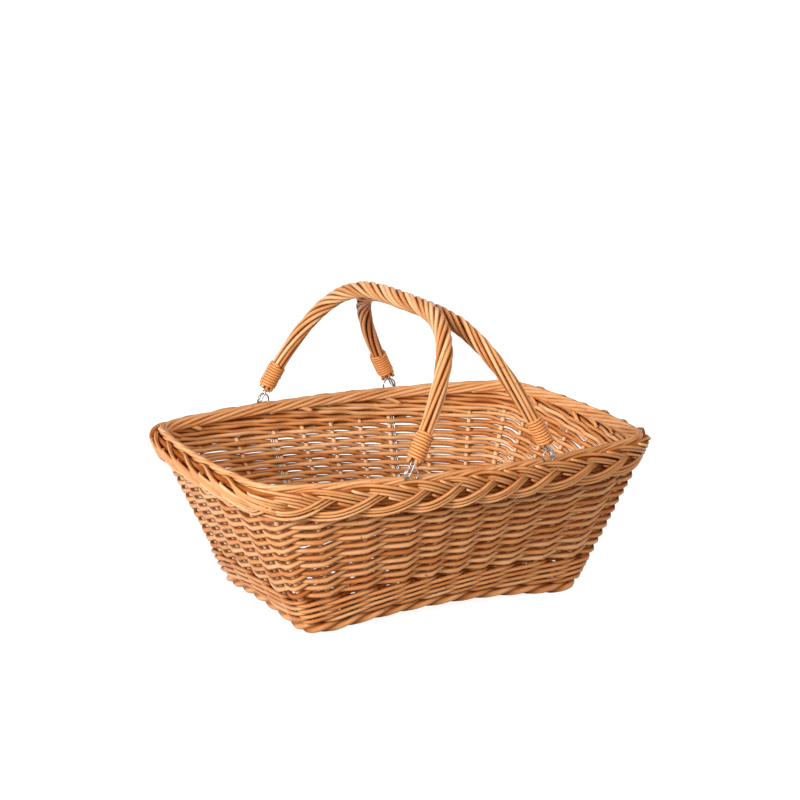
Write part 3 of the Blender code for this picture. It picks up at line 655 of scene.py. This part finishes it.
class WICKER_OT_base(bpy.types.Operator):
    """Lay the base sticks and weave the base"""

    bl_idname = "wicker.base"
    bl_label = "Base"

    def execute(self, context):
        """Rods pass over and under the sticks as a cosine of their place across the base.

        A row runs across at one place along the base and turns back in a half circle.
        """
        sizes = context.scene.wicker_wall
        rng = np.random.default_rng(12)
        foot_wide, foot_middle, free, end_room = 0.0125, 0.0042, 0.0003, 0.0012
        stick_height, stick_half, swing, pressed = 0.0087, 0.0025, 0.0059, 0.8
        spread_x, spread_y, past_stick = 0.0026, 0.0036, 0.0030
        inset = foot_wide / 2 - foot_middle * math.tan(wall_lean()) + free
        reach_x, reach_y = BASE_SIZE[0] / 2 - inset, BASE_SIZE[1] / 2 - inset
        rows_y = np.linspace(-1, 1, 5) * (reach_y - stick_half - swing - free)

        def lifted(x, y, up):
            """A place of the flat base, spread out to the bowed foot and lifted by both crowns."""
            half_x, half_y = (size / 2 * CORNER_FLAT_SHARE for size in BASE_SIZE)
            dome = CROWN[0] * np.clip(1 - (x / half_x) ** 2, 0, None)
            dome = dome + CROWN[1] * np.clip(1 - (y / half_y) ** 2, 0, None)
            out_x = 1 + (spread_x + BASE_BOW[1] * (1 - (y / reach_y) ** 2)) / reach_x
            out_y = 1 + (spread_y + BASE_BOW[0] * (1 - (x / reach_x) ** 2)) / reach_y
            z = stick_height + dome + up
            return np.stack(np.broadcast_arrays(x * out_x, y * out_y, z), axis=-1)

        x = np.linspace(-reach_x, reach_x, 24)
        sticks = lifted(x[None, :], rows_y[:, None], 0.0)
        # A little painted shade on the sticks, lying under the weave
        part = rods(sticks, UP, sizes.stick / 2, sides=10, tone=rng.uniform(0.4, 0.8, 5), painted_shade=0.1)
        names = [f"base_stick_{i}" for i in range(1, 6)]
        make_piece("base_sticks", [part], "willow", "basket", names)

        rows, cross, turn = 45, 24, 6
        pitch = 2 * (reach_x - end_room) / rows
        edge = rows_y[-1] + past_stick
        row = np.arange(rows + 1)[:, None]
        way = np.where(row % 2 == 0, 1.0, -1.0)
        start = pitch * (row - rows / 2)
        y = way * np.linspace(-edge, edge, cross)[None, :]
        turning = np.linspace(0, math.pi, turn + 2)[1:-1][None, :]
        turn_y = way * (edge + pitch / 2 * np.sin(turning))
        turn_x = start + pitch / 2 * (1 - np.cos(turning))
        space = rows_y[1] - rows_y[0]
        over = way * swing * np.cos(math.pi * y / space)
        turn_over = way * swing * math.cos(math.pi * edge / space) * np.cos(turning)
        whole_x = np.concatenate([np.broadcast_to(start, y.shape), turn_x], axis=1).ravel()[:-turn]
        whole_y = np.concatenate([y, turn_y], axis=1).ravel()[:-turn]
        whole_up = np.concatenate([over, turn_over], axis=1).ravel()[:-turn]
        apart = sizes.slew * 0.48
        shifts = np.array((-apart, apart))[:, None]
        paths = lifted(whole_x[None, :] + shifts, whole_y[None, :], whole_up[None, :] * pressed)
        # Painted shade, darkest between the sticks where a rod passes from over to under
        painted_shade = 0.5 * (1 - np.abs(whole_up) / swing)[None, :]
        part = rods(paths, UP, sizes.slew / 2, tone=rng.uniform(0.35, 0.65, 2), painted_shade=painted_shade)
        make_piece("base_rods", [part], "willow", "basket", ["base_weave"])
        return {"FINISHED"}


class WICKER_OT_stakes(bpy.types.Operator):
    """Stand the side stakes and the corner posts"""

    bl_idname = "wicker.stakes"
    bl_label = "Stakes and posts"

    def execute(self, context):
        """Each stake is a straight rod on the middle of the wall from foot to border."""
        sizes = context.scene.wicker_wall
        rng = np.random.default_rng(13)
        above_foot = 0.002
        heights = np.linspace(FOOT_TALL + above_foot, STAKE_TOP, 12)
        paths = wall(PLACES[:, None], heights[None, :])
        facing = wall_frame(PLACES[:, None], heights[None, :])[2]
        radius = np.where(POSTS, sizes.post, sizes.stake)[:, None] / 2
        # Pale tones: with the stake finish, a painted highlight on the stakes
        tone = rng.uniform(0.6, 1.0, STAKE_COUNT)
        part = rods(paths, facing, radius, tone=tone)
        names = [f"side_stake_{i:02d}" for i in range(1, 30)]
        names += [f"corner_post_{i}" for i in range(1, 5)]
        make_piece("side_stakes", [part], "stake", "basket", names)
        return {"FINISHED"}


class WICKER_OT_upsett(bpy.types.Operator):
    """Wale the upsett over the foot"""

    bl_idname = "wicker.upsett"
    bl_label = "Upsett wale"

    def execute(self, context):
        """Three rods to a round, each inside one stake in three.

        Out of the wall a rod goes as a cosine of a third of a turn for each stake, held
        flat outside, and it climbs over the other two as the sine of the same angle.
        """
        sizes = context.scene.wicker_wall
        rng = np.random.default_rng(14)
        gap, farthest, steepness, climb_share, waver = 0.0002, 1.12, 1.25, 0.56, 0.00015
        many = 3 * sizes.wale_rows
        count = np.arange(STAKE_COUNT * BAY_STEPS) / BAY_STEPS
        rod = np.arange(many)[:, None]
        turn = 2 * math.pi * (count[None, :] - rod) / 3
        touch = (blend(sizes.stake, sizes.post, post_share(count)) + sizes.wale) / 2 + gap
        swing = 1 / 3 - 4 / 3 * np.cos(turn)
        swing = np.where(swing > 0, farthest * np.tanh(swing / farthest * steepness), swing)
        climb = sizes.wale * climb_share * np.sin(turn)
        height = FOOT_TALL + sizes.wale + gap + sizes.wale_row * (rod // 3) - climb
        height = height + ripple(rng, (many,), count, waver)
        here, _, outward = wall_frame(place_of(count)[None, :], height)
        paths = here + outward * (swing * touch)[..., None]
        # Painted shade, darkest where a rod passes between the stakes through the wall's middle, and in
        # the grooves
        painted_shade = np.clip(1 - np.abs(swing), 0, 1) ** 1.3
        tone = rng.uniform(0.25, 0.7, many)
        part = rods(paths, outward, sizes.wale / 2, closed=True, tone=tone, painted_shade=painted_shade, groove_shade=0.5)
        make_piece("upsett_rods", [part], "willow", "basket", ["upsett_wale"])
        return {"FINISHED"}


class WICKER_OT_randing(bpy.types.Operator):
    """Weave the wall"""

    bl_idname = "wicker.randing"
    bl_label = "Randing"

    def execute(self, context):
        """French randing: one rod starts at each stake and climbs a row in every bay.

        A rod's distance out of the wall is a rounded triangle wave, the arcsine of most
        of a cosine of half a turn for each stake, times the two half diameters, so it
        lies inside one stake and outside the next. Its height is the count of bays plus
        the sine of half a turn in each bay, so it is steep after a stake and level
        before the next, and it rises most where it goes back in. On a stake it is
        pressed taller than it is deep. Under the border its outer swing fades away.
        """
        sizes = context.scene.wicker_wall
        rng = np.random.default_rng(15)
        into_wale, rod_up, least_swing, pressed, pressed_share = 0.4, 0.28, 0.1, 0.0001, 0.95
        steps = np.arange(-2, sizes.rows * BAY_STEPS + 1) / BAY_STEPS
        count = np.arange(STAKE_COUNT)[:, None] + steps[None, :]
        share = np.clip(steps / steps[-1], 0, 1)[None, :]
        diameter = blend(sizes.weaver, sizes.weaver_tip, share) * rng.normal(1, 0.04, (STAKE_COUNT, 1))
        # The first row lies partly in the top round of the wale
        low = FOOT_TALL + sizes.wale * into_wale + sizes.wale_row * sizes.wale_rows
        low = low + sizes.weaver * rod_up
        bay = steps % 1
        going_in = np.floor(steps) % 2 == 1
        hump_in, hump_out = HUMP_IN * np.sin(math.pi * bay), HUMP_OUT * np.sin(math.pi * bay ** 0.8)
        height = low + sizes.row * (steps + np.where(going_in, hump_in, hump_out))[None, :]
        height = height + ripple(rng, (STAKE_COUNT,), steps, 0.0005)
        touch = (blend(sizes.stake, sizes.post, post_share(count)) + diameter) / 2 - pressed
        wave = -SWING_ROUND * np.cos(math.pi * (steps + SWING_AHEAD * np.sin(math.pi * bay)))
        swing = (np.arcsin(wave) / math.asin(SWING_ROUND))[None, :]
        under = np.clip((SWING_END - height) / SWING_FADE, least_swing, 1)
        out = np.where(swing > 0, swing * under, swing)
        here, _, outward = wall_frame(place_of(count), height)
        # Rod and stake press into each other by a twentieth
        paths = here + outward * (out * touch * pressed_share)[..., None]
        tone = rng.normal(0.5, 0.17, STAKE_COUNT)
        tall = 1 + FLOAT_TALLER * np.abs(swing) ** 1.5 * np.where(swing > 0, 1, INSIDE_SHARE)
        # Painted shade darkens each rod's upper and lower sides, where it touches the rows beside it
        part = rods(paths, outward, diameter / 2 * tall, tone=tone, flat=1 / tall, groove_shade=0.95)
        names = ["randing_1", "randing_2", "randing_3"]
        make_piece("randing_rods", [part], "willow", "basket", names)
        return {"FINISHED"}


class WICKER_OT_border(bpy.types.Operator):
    """Plait the border and lay the rope inside it"""

    bl_idname = "wicker.border"
    bl_label = "Border"

    def execute(self, context):
        """Four strands swing up and down the border, a quarter of a turn apart.

        Three closed rods side by side go four times round the rim, so they are all four
        strands. Each fall has two more rods, and they end behind the next strands. The
        rods of the rope go round a flat oval, in and out by the cosine of their angle
        and up and down by its sine.
        """
        sizes = context.scene.wicker_border
        rng = np.random.default_rng(16)

        def plait(count, lane):
            """Rods of a strand at counts of stakes, each a lane beside its middle.

            The strand goes up by a flattened sine of its angle, which gains a turn in
            four stakes. It goes outward by minus the sine of twice the angle and a part
            of the cosine, so that the rise is in front of two strands and behind one.
            The plait is rounded, its crest further in than its foot, and at a corner all
            of it is drawn in. On the long sides the rise is the longer part. On the short
            ones the fall is longer and in front, and the rods lie closer.
            """
            up_waver, out_waver, behind_shade = 0.0007, 0.0002, 0.3
            corner = post_share(count)
            short = np.abs(wall_frame(place_of(count), RIM_HEIGHT)[2][..., 0])
            turn = 2 * math.pi * count / 4
            angle = turn + blend(*FALL_LONGER, short) * np.sin(turn)
            gap = sizes.rod * blend(*ROD_ROOM, short)
            wave = np.tanh(SWING_FLAT * np.sin(angle)) / math.tanh(SWING_FLAT)
            tilt = np.arctan(np.cos(angle) * sizes.swing * 2 * math.pi / TURN_LONG)
            shape = (len(lane),)
            swing = sizes.swing * (1 - CORNER_SHARE[0] * corner)
            depth = sizes.depth * (1 - CORNER_SHARE[1] * corner)
            up = PLAIT_UP + swing * wave + lane * gap * np.cos(tilt)
            up = up + ripple(rng, shape, count, up_waver)
            front = blend(*RISE_FRONT, short)
            out = PLAIT_OUT - CORNER_IN * corner + depth * (front * np.cos(angle) - np.sin(2 * angle))
            out = out - np.where(wave > 0, CREST_IN, blend(*FOOT_IN, short)) * np.abs(wave)
            out = out + ripple(rng, shape, count, out_waver)
            paths, level = border_point(place_of(count) - lane * gap * np.sin(tilt), out, up)
            # Painted shade on the part of a strand that lies behind the others
            return paths, level, np.clip(np.sin(2 * angle), 0, 1) * behind_shade

        bay_steps, slow = 10, 13
        steps = np.arange(4 * STAKE_COUNT * bay_steps)
        paths, level, painted_shade = plait(steps[None, :] / bay_steps, np.array([[-1.0], [0.0], [1.0]]))
        radius = sizes.rod / 2 * (1 + ripple(rng, (3,), steps / slow, 0.05))
        tone = rng.uniform(0.4, 0.7, 3)
        # Painted shade in the grooves between the rods of a strand
        parts = [rods(paths, level, radius, closed=True, tone=tone, painted_shade=painted_shade, groove_shade=0.8)]
        many = (STAKE_COUNT, 1)
        first = 4.0 * np.arange(STAKE_COUNT)[:, None]
        ends = np.linspace(0, 1, 28)[None, :]
        tuck_share, thinner = 0.12, 0.25
        # Two more lanes of a fall: lane, start and end in stakes, and how far the ends turn in
        for lane, begin, end, depth in ((2.0, 1.55, 2.6, 0.0030), (-2.0, 1.55, 2.45, 0.0010)):
            span = rng.uniform(-0.08, 0.08, many) + begin, rng.uniform(-0.12, 0.12, many) + end
            paths, level, painted_shade = plait(first + blend(*span, ends), np.full(many, lane))
            # Their ends are behind the strands that cross them
            tuck = np.clip(1 - np.minimum(ends, 1 - ends) / tuck_share, 0, 1) ** 2
            paths = paths - level * (depth * tuck)[..., None]
            radius = sizes.rod / 2 * rng.normal(0.95, 0.05, many) * (1 - thinner * tuck)
            tone = rng.uniform(0.25, 0.85, STAKE_COUNT)
            parts.append(rods(paths, level, radius, tone=tone, painted_shade=painted_shade, groove_shade=0.6))
        make_piece("plaited_border", parts, "willow", "basket", ["border_plait"])

        rope_in, rope_up, half_deep, half_tall = 0.0056, 0.0092, 0.0022, 0.0068
        bay_steps, strands = 8, 6
        count = np.arange(STAKE_COUNT * bay_steps)[None, :] / bay_steps
        offset = (np.arange(strands) + rng.uniform(-0.12, 0.12, strands))[:, None] / strands
        angle = 2 * math.pi * (offset - sizes.rope_turns * count / STAKE_COUNT)
        out = -rope_in - half_deep * np.cos(angle)
        up = rope_up + (half_tall - sizes.rope_rod / 2) * np.sin(angle)
        paths, level = border_point(place_of(count), out, up)
        tone = rng.uniform(0.35, 0.9, strands)
        # Painted shade in the grooves between the rope's rods, and a trace all over
        look = {"tone": tone, "painted_shade": 0.05, "groove_shade": 0.5}
        parts = [rods(paths, -level, sizes.rope_rod / 2, closed=True, **look)]
        # Straight rods between the rope and the plait, one above the other, with painted shade of a
        # half as they lie back in the recess
        lining, lining_low, lining_step = 5, -0.0080, 0.0048
        lining_out, lining_radius = 0.0028, 0.0026
        rise = lining_low + lining_step * np.arange(lining)[:, None]
        paths, level = border_point(place_of(count), lining_out, rise)
        tone = rng.uniform(0.1, 0.4, lining)
        parts.append(rods(paths, -level, lining_radius, closed=True, tone=tone, painted_shade=0.5))
        # The cut ends of six stakes in ten slant down from under the rope
        end_in, end_deeper, end_up, slant = 0.0050, 0.0012, 0.0045, 0.52
        share = np.linspace(0, 1, 6)[None, :]
        stakes = np.flatnonzero(rng.uniform(0, 1, STAKE_COUNT) < 0.6)
        many = (len(stakes), 1)
        start = place_of(stakes[:, None] + rng.uniform(-0.12, 0.12, many))
        reach = rng.uniform(0.010, 0.018, many)
        drop = end_up - reach * slant * share
        paths, level = border_point(start - reach * share, -end_in - end_deeper * share, drop)
        tone = rng.uniform(0.3, 0.8, len(stakes))
        radius = rng.uniform(0.0019, 0.0023, many)
        # A little painted shade on the ends, under the rope
        parts.append(rods(paths, -level, radius, tone=tone, painted_shade=0.1))
        make_piece("border_rope_rods", parts, "willow", "basket", ["border_rope"])
        return {"FINISHED"}


class WICKER_OT_eyes(bpy.types.Operator):
    """Set the steel eyes in the border"""

    bl_idname = "wicker.eyes"
    bl_label = "Hinge eyes"

    def execute(self, context):
        """A wire goes up one leg, round a circle in the plane of the side and down the other leg."""
        sizes = context.scene.wicker_handle
        half = EYE_LEG_SPREAD / 2
        opening = math.asin(half / EYE_RADIUS)
        alongs = stake_alongs()[0]
        leg_heights = np.array((STAKE_TOP, 0.110, 0.075, 0.048))
        for back in (False, True):
            for right in (False, True):
                side = 2 if back else 0
                flip = 1 if right != back else -1
                place = side_place(side, flip * EYE_OFFSET / (RIM_SIZE[0] / 2 - RIM_CORNER))
                run = wall_frame(place, RIM_HEIGHT)[1]
                level = run if run[0] > 0 else -run
                sign = 1 if right else -1
                centre = np.array((sign * EYE_OFFSET, (1 if back else -1) * PIN_SPAN, EYE_HEIGHT))
                angle = np.linspace(opening - math.pi / 2, math.pi * 1.5 - opening, 41)[:, None]
                ring = centre + EYE_RADIUS * (level * np.cos(angle) + UP * np.sin(angle))

                def leg(spread):
                    """The leg from the ring's foot through the channel and down beside the stake."""
                    mid = border_point(place, -CHANNEL_INSET, BORDER_UP)[0] + level * spread
                    here, along, _ = wall_frame(side_place(side, flip * alongs[6]), leg_heights)
                    away = along * np.where((along[:, :1] > 0) == right, 1, -1)
                    return np.vstack([mid, here + away * (EYE_TO_STAKE + sign * spread)])

                path = np.concatenate([leg(half)[::-1], ring, leg(-half)])[None]
                name = f"eye_{'right' if right else 'left'}_{'back' if back else 'front'}"
                part = rods(path, np.cross(UP, level), sizes.eye_wire / 2, sides=12)
                make_piece(f"steel_{name}", [part], "wire", "basket", [name])
        return {"FINISHED"}


# The handles' pieces


class Arch:
    """A handle's middle line: out by a power of the cosine of half a turn, up by its sine."""

    def __init__(self, right):
        turn = np.linspace(0, math.pi, 600)
        cosine = np.cos(turn)
        self.across = -PIN_SPAN * np.sign(cosine) * np.abs(cosine) ** ARCH_POWER[right]
        self.rise = ARCH_HEIGHT[right] * np.sin(turn) * (1 + ARCH_SKEW[right] * cosine)
        spans = np.hypot(np.diff(self.across), np.diff(self.rise))
        self.run = np.concatenate([[0.0], np.cumsum(spans)])
        self.length = self.run[-1]
        sign = 1 if right else -1
        self.pivot = np.array((sign * PIN[0], 0.0, PIN[1]))
        lean = -sign * handle_leans()[right]
        self.side = np.array((math.cos(lean), 0.0, -math.sin(lean)))
        self.up = np.array((math.sin(lean), 0.0, math.cos(lean)))

    def local(self, run):
        """The flat place, across and up, at distances along the arch."""
        flat = [np.interp(run, self.run, values) for values in (self.across, self.rise)]
        return np.stack(flat, axis=-1)

    def world(self, flat):
        """Flat places carried into the leaning plane of the handle."""
        return self.pivot + flat[..., :1] * np.array((0.0, 1.0, 0.0)) + flat[..., 1:] * self.up

    def frame(self, run):
        """The point, the direction along the arch and the direction across it in its plane."""
        step = 0.0026
        ahead = unit(self.local(run + step) - self.local(run - step))
        turned = np.stack([-ahead[..., 1], ahead[..., 0]], axis=-1)
        here = self.world(self.local(run))
        return here, self.world(ahead) - self.pivot, self.world(turned) - self.pivot

    def diameter(self, run):
        """The bundle's diameter: a squared sine from the leg's to the grip's."""
        return blend(LEG_DIAMETER, GRIP_DIAMETER, np.sin(math.pi * run / self.length) ** 2)

    def around(self, run, angle, radius):
        """Points at angles and distances round the arch, and their directions from it."""
        centre, _, out = self.frame(run)
        radial = self.side * np.cos(angle)[..., None] + out * np.sin(angle)[..., None]
        return centre + radial * radius[..., None], radial


def handle_leans():
    """How far each handle leans in, with the two grips just clear of each other.

    The left one's lean puts its grip a set distance past the middle; the right one's
    comes from the triangle of the two grips' middles and its own pin.
    """
    apart = GRIP_DIAMETER + MEETING_GAP
    left = math.asin((PIN[0] + MEETING_OFFSET - apart / 2) / ARCH_HEIGHT[0])
    left_x = ARCH_HEIGHT[0] * math.sin(left) - PIN[0]
    left_top = ARCH_HEIGHT[0] * math.cos(left)
    span = PIN[0] - left_x
    reach = math.hypot(span, left_top)
    cosine = (reach ** 2 + ARCH_HEIGHT[1] ** 2 - apart ** 2) / (2 * reach * ARCH_HEIGHT[1])
    return left, math.pi / 2 - math.atan2(left_top, span) - math.acos(cosine)


class WICKER_OT_handles(bpy.types.Operator):
    """Twist the handles' rods"""

    bl_idname = "wicker.handles"
    bl_label = "Handle rods"

    def execute(self, context):
        """Rods stand in a ring round the arch and turn with it.

        They turn slowly in the legs, and above them by a power of the arch's height. A
        plain core fills the ring.
        """
        sizes = context.scene.wicker_handle
        leg_rate, leg_high, turn_high, power = 0.12, 0.28, 0.50, 1.5
        uneven, flare_out, flare_long, steps = 0.0045, 0.0018, 0.009, 150
        jitter, waver, core_end, core_in = 0.11, 0.0003, ROD_END + 0.006, 0.85
        for right in (False, True):
            rng = np.random.default_rng(21 + right)
            arch = Arch(right)
            side = "right" if right else "left"
            many = sizes.rods
            start = ROD_END + rng.uniform(0.0, uneven, (many, 1))
            end = arch.length - ROD_END - rng.uniform(0.0, uneven, (many, 1))
            run = blend(start, end, np.linspace(0, 1, steps)[None, :])
            fine = np.linspace(0, arch.length, 400)
            high = np.sin(math.pi * fine / arch.length)
            rate = blend(leg_rate, 1.0, np.clip((high - leg_high) / turn_high, 0, 1) ** power)
            turned = np.concatenate([[0.0], np.cumsum((rate[1:] + rate[:-1]) / 2 * np.diff(fine))])
            turned = (turned - turned[len(fine) // 2]) * 2 * math.pi / sizes.lay
            share = np.sin(math.pi * run / arch.length) ** 2
            diameter = blend(sizes.leg_rod, sizes.grip_rod, share) * rng.normal(1, 0.04, (many, 1))
            angle = 2 * math.pi * np.arange(many)[:, None] / many - np.interp(run, fine, turned)
            angle = angle + ripple(rng, (many,), np.linspace(0, 24, steps), jitter)
            # Below the bindings the ends flare
            to_end = np.minimum(run, arch.length - run) - ROD_END
            flare = flare_out * np.clip(1 - to_end / flare_long, 0, 1)
            uneven_out = ripple(rng, (many,), np.linspace(0, 20, steps), waver)
            ring = arch.diameter(run) / 2 - diameter / 2 + uneven_out + flare
            paths, radial = arch.around(run, angle, ring)
            tone = rng.uniform(0.2, 0.9, many)
            # Painted shade in the grooves between the twisted rods
            parts = [rods(paths, radial, diameter / 2, tone=tone, groove_shade=0.9)]
            # The plain core is dark with painted shade, as it shows only in the gaps between the rods
            inner = np.linspace(core_end, arch.length - core_end, 80)[None, :]
            core = arch.diameter(inner) / 2 - blend(sizes.leg_rod, sizes.grip_rod, 0.5) * core_in
            parts.append(rods(arch.frame(inner)[0], arch.side, core, sides=10, tone=0.2, painted_shade=0.9))
            name = f"handle_{side}"
            make_piece(f"{name}_rods", parts, "willow", name, [name])
        return {"FINISHED"}


class WICKER_OT_bindings(bpy.types.Operator):
    """Bind the handles' ends"""

    bl_idname = "wicker.bindings"
    bl_label = "Bindings"

    def execute(self, context):
        """A flat strand turns evenly round each leg, and a strip runs down over its turns."""
        sizes = context.scene.wicker_handle
        above_ends, thick, strip_half, strip_flat, tucked = 0.0072, 0.0011, 0.0016, 0.32, 0.0012
        past_turns, strip_over, waver = 0.3, 1.7, 0.0002
        half, pitch = sizes.binding / 2, sizes.binding * 1.04
        for right in (False, True):
            arch = Arch(right)
            side = "right" if right else "left"
            for back in (False, True):
                rng = np.random.default_rng(31 + 2 * right + back)
                turns = np.linspace(0, sizes.binding_turns, int(sizes.binding_turns * 20) + 1)
                down = np.linspace(-past_turns, sizes.binding_turns + past_turns, 14)
                run, strip_run = (ROD_END + above_ends + pitch * count for count in (turns, down))
                if back:
                    run, strip_run = arch.length - run, arch.length - strip_run
                angle = 2 * math.pi * turns + (2.0 if back else 0.6)
                radius = arch.diameter(run) / 2 + thick / 2 + ripple(rng, (1,), 3 * turns, waver)[0]
                path, radial = arch.around(run, angle, radius)
                # Painted shade in the grooves between the turns
                parts = [rods(path[None], radial[None], half, tone=0.6, flat=thick / half, groove_shade=1.0)]
                # The strip's two ends are tucked under the turns
                at_end = np.abs(np.linspace(-1, 1, len(down))) > 0.9
                lift = arch.diameter(strip_run) / 2 + thick * strip_over - tucked * at_end
                path, radial = arch.around(strip_run, np.full(len(down), 2.6 if back else -1.9), lift)
                # The strip is paler than the turns, a painted highlight along the binding
                parts.append(rods(path[None], radial[None], strip_half, tone=0.85, flat=strip_flat))
                name = f"binding_{side}_{'back' if back else 'front'}"
                make_piece(f"{name}_strand", parts, "skein", f"handle_{side}", [name])
        return {"FINISHED"}


class WICKER_OT_hooks(bpy.types.Operator):
    """Bend the steel hooks"""

    bl_idname = "wicker.hooks"
    bl_label = "Hinge hooks"

    def execute(self, context):
        """A hook is a U: two straight legs, and a half oval between them through the eye."""
        sizes = context.scene.wicker_handle
        half, bend, into_handle = 0.0035, 0.0030, 0.012
        for right in (False, True):
            arch = Arch(right)
            side = "right" if right else "left"
            for back in (False, True):
                run = arch.length - ROD_END if back else ROD_END
                pin = arch.world(arch.local(arch.length if back else 0.0))
                up = arch.frame(run)[0] - pin
                top = np.linalg.norm(up) + into_handle
                up = unit(up)
                sideways = np.cross(arch.side, up)
                turn = np.linspace(0, math.pi, 17)
                across = np.concatenate([[-half] * 5, -half * np.cos(turn), [half] * 5])
                leg = np.linspace(top, bend * 1.4, 5)
                rise = np.concatenate([leg, bend * (1 - np.sin(turn)), leg[::-1]])
                path = (pin + sideways * across[:, None] + up * rise[:, None])[None]
                name = f"hook_{side}_{'back' if back else 'front'}"
                part = rods(path, arch.side, sizes.hook_wire / 2, sides=12)
                make_piece(f"steel_{name}", [part], "wire", f"handle_{side}", [name])
        return {"FINISHED"}


# The stage


class WICKER_OT_stage(bpy.types.Operator):
    """Set the floor, the lights and the camera"""

    bl_idname = "wicker.stage"
    bl_label = "Stage"

    def execute(self, context):
        """A wide pale floor under a pale sky, three soft lamps and the photograph's camera."""
        scene = context.scene
        colours = scene.wicker_colours
        scene.view_settings.view_transform = "Standard"
        world = bpy.data.worlds.new("pale_room")
        scene.world = world
        world.use_nodes = True
        tree = world.node_tree
        tree.nodes.clear()

        def seen_or_not(tree, kind, lit, seen):
            """One colour and strength for the rays that light things, another for those that see."""
            rays = add(tree, "ShaderNodeLightPath").outputs
            share = rays["Is Camera Ray"]
            for ray in ("Is Glossy Ray", "Is Transmission Ray"):
                share = add(
                    tree, "ShaderNodeMath", {0: share, 1: rays[ray]}, operation="MAXIMUM"
                ).outputs[0]
            both = [
                add(tree, kind, {"Color": (*tint, 1), "Strength": strength}).outputs[0]
                for tint, strength in (lit, seen)
            ]
            return add(tree, "ShaderNodeMixShader", {0: share, 1: both[0], 2: both[1]}).outputs[0]

        # What lights the basket from all round, and the white that is seen
        sky = seen_or_not(tree, "ShaderNodeBackground", ((1, 0.84, 0.66), 0.31), ((1, 1, 1), 1.0))
        add(tree, "ShaderNodeOutputWorld", {"Surface": sky})

        mesh = bpy.data.meshes.new("floor")
        half = 12.0
        corners = [(half * x, half * y, 0) for x, y in ((-1, -1), (1, -1), (1, 1), (-1, 1))]
        mesh.from_pydata(corners, [], [(0, 1, 2, 3)])
        floor = bpy.data.objects.new("floor", mesh)
        scene.collection.objects.link(floor)
        material, tree, shader = new_material("white_floor")
        shader.inputs["Base Color"].default_value = (*colours.floor, 1)
        shader.inputs["Roughness"].default_value = 0.9
        shader.inputs["Specular IOR Level"].default_value = 0.1
        glow = seen_or_not(tree, "ShaderNodeEmission", ((0, 0, 0), 0.0), ((1, 1, 1), 0.93))
        total = add(tree, "ShaderNodeAddShader", {0: shader.outputs[0], 1: glow})
        tree.links.new(total.outputs[0], tree.nodes["Material Output"].inputs["Surface"])
        mesh.materials.append(material)

        lamps = (
            ("key", (-2.35, -0.85, 0.9), 0.9, 78, (1, 1, 1)),
            ("fill", (-0.1, -2.1, 1.7), 1.3, 27, (1, 0.82, 0.62)),
            ("top", (0.2, 0.5, 2.4), 1.2, 14, (1, 0.93, 0.85)),
        )
        middle = Vector((0, 0, 0.12))
        for name, spot, wide, power, tint in lamps:
            data = bpy.data.lights.new(name, "AREA")
            data.shape = "DISK"
            data.size = wide
            data.energy = power
            data.color = tint
            lamp = bpy.data.objects.new(name, data)
            lamp.location = spot
            lamp.rotation_euler = (middle - Vector(spot)).to_track_quat("-Z", "Y").to_euler()
            scene.collection.objects.link(lamp)

        yaw, pitch = 0.48288, 0.23975
        level = math.cos(pitch)
        ahead = Vector((math.sin(yaw) * level, math.cos(yaw) * level, -math.sin(pitch)))
        right = Vector((math.cos(yaw), -math.sin(yaw), 0))
        data = bpy.data.cameras.new("camera")
        data.sensor_width = 36
        data.lens = 105.58
        data.clip_end = 50
        camera = bpy.data.objects.new("camera", data)
        turn = Matrix((right, right.cross(ahead), -ahead)).transposed().to_4x4()
        camera.matrix_world = Matrix.Translation((-1.11486, -2.12795, 0.79073)) @ turn
        scene.collection.objects.link(camera)
        bpy.context.scene.camera = camera
        return {"FINISHED"}


PIECES = (
    WICKER_OT_foot, WICKER_OT_base, WICKER_OT_stakes, WICKER_OT_upsett, WICKER_OT_randing,
    WICKER_OT_border, WICKER_OT_eyes, WICKER_OT_handles, WICKER_OT_bindings, WICKER_OT_hooks,
    WICKER_OT_stage,
)


class WICKER_PT_panel(bpy.types.Panel):
    """The sizes and colours of the basket, and its pieces"""

    bl_idname = "WICKER_PT_panel"
    bl_label = "Wicker Display Basket"
    bl_space_type = "VIEW_3D"
    bl_region_type = "UI"
    bl_category = "Wicker"

    def draw(self, context):
        for key in GROUPS:
            box = self.layout.box()
            group = getattr(context.scene, key)
            for name in group.__annotations__:
                box.prop(group, name)
        for operator in PIECES:
            self.layout.operator(operator.bl_idname)


def register():
    for key, group in GROUPS.items():
        bpy.utils.register_class(group)
        setattr(bpy.types.Scene, key, PointerProperty(type=group))
    for item in PIECES + (WICKER_PT_panel,):
        bpy.utils.register_class(item)


def unregister():
    for item in (WICKER_PT_panel,) + PIECES[::-1]:
        bpy.utils.unregister_class(item)
    for key, group in GROUPS.items():
        delattr(bpy.types.Scene, key)
        bpy.utils.unregister_class(group)


def main():
    """Build every piece in order."""
    register()
    for operator in PIECES:
        space, name = operator.bl_idname.split(".")
        getattr(getattr(bpy.ops, space), name)()


if __name__ == "__main__":
    main()
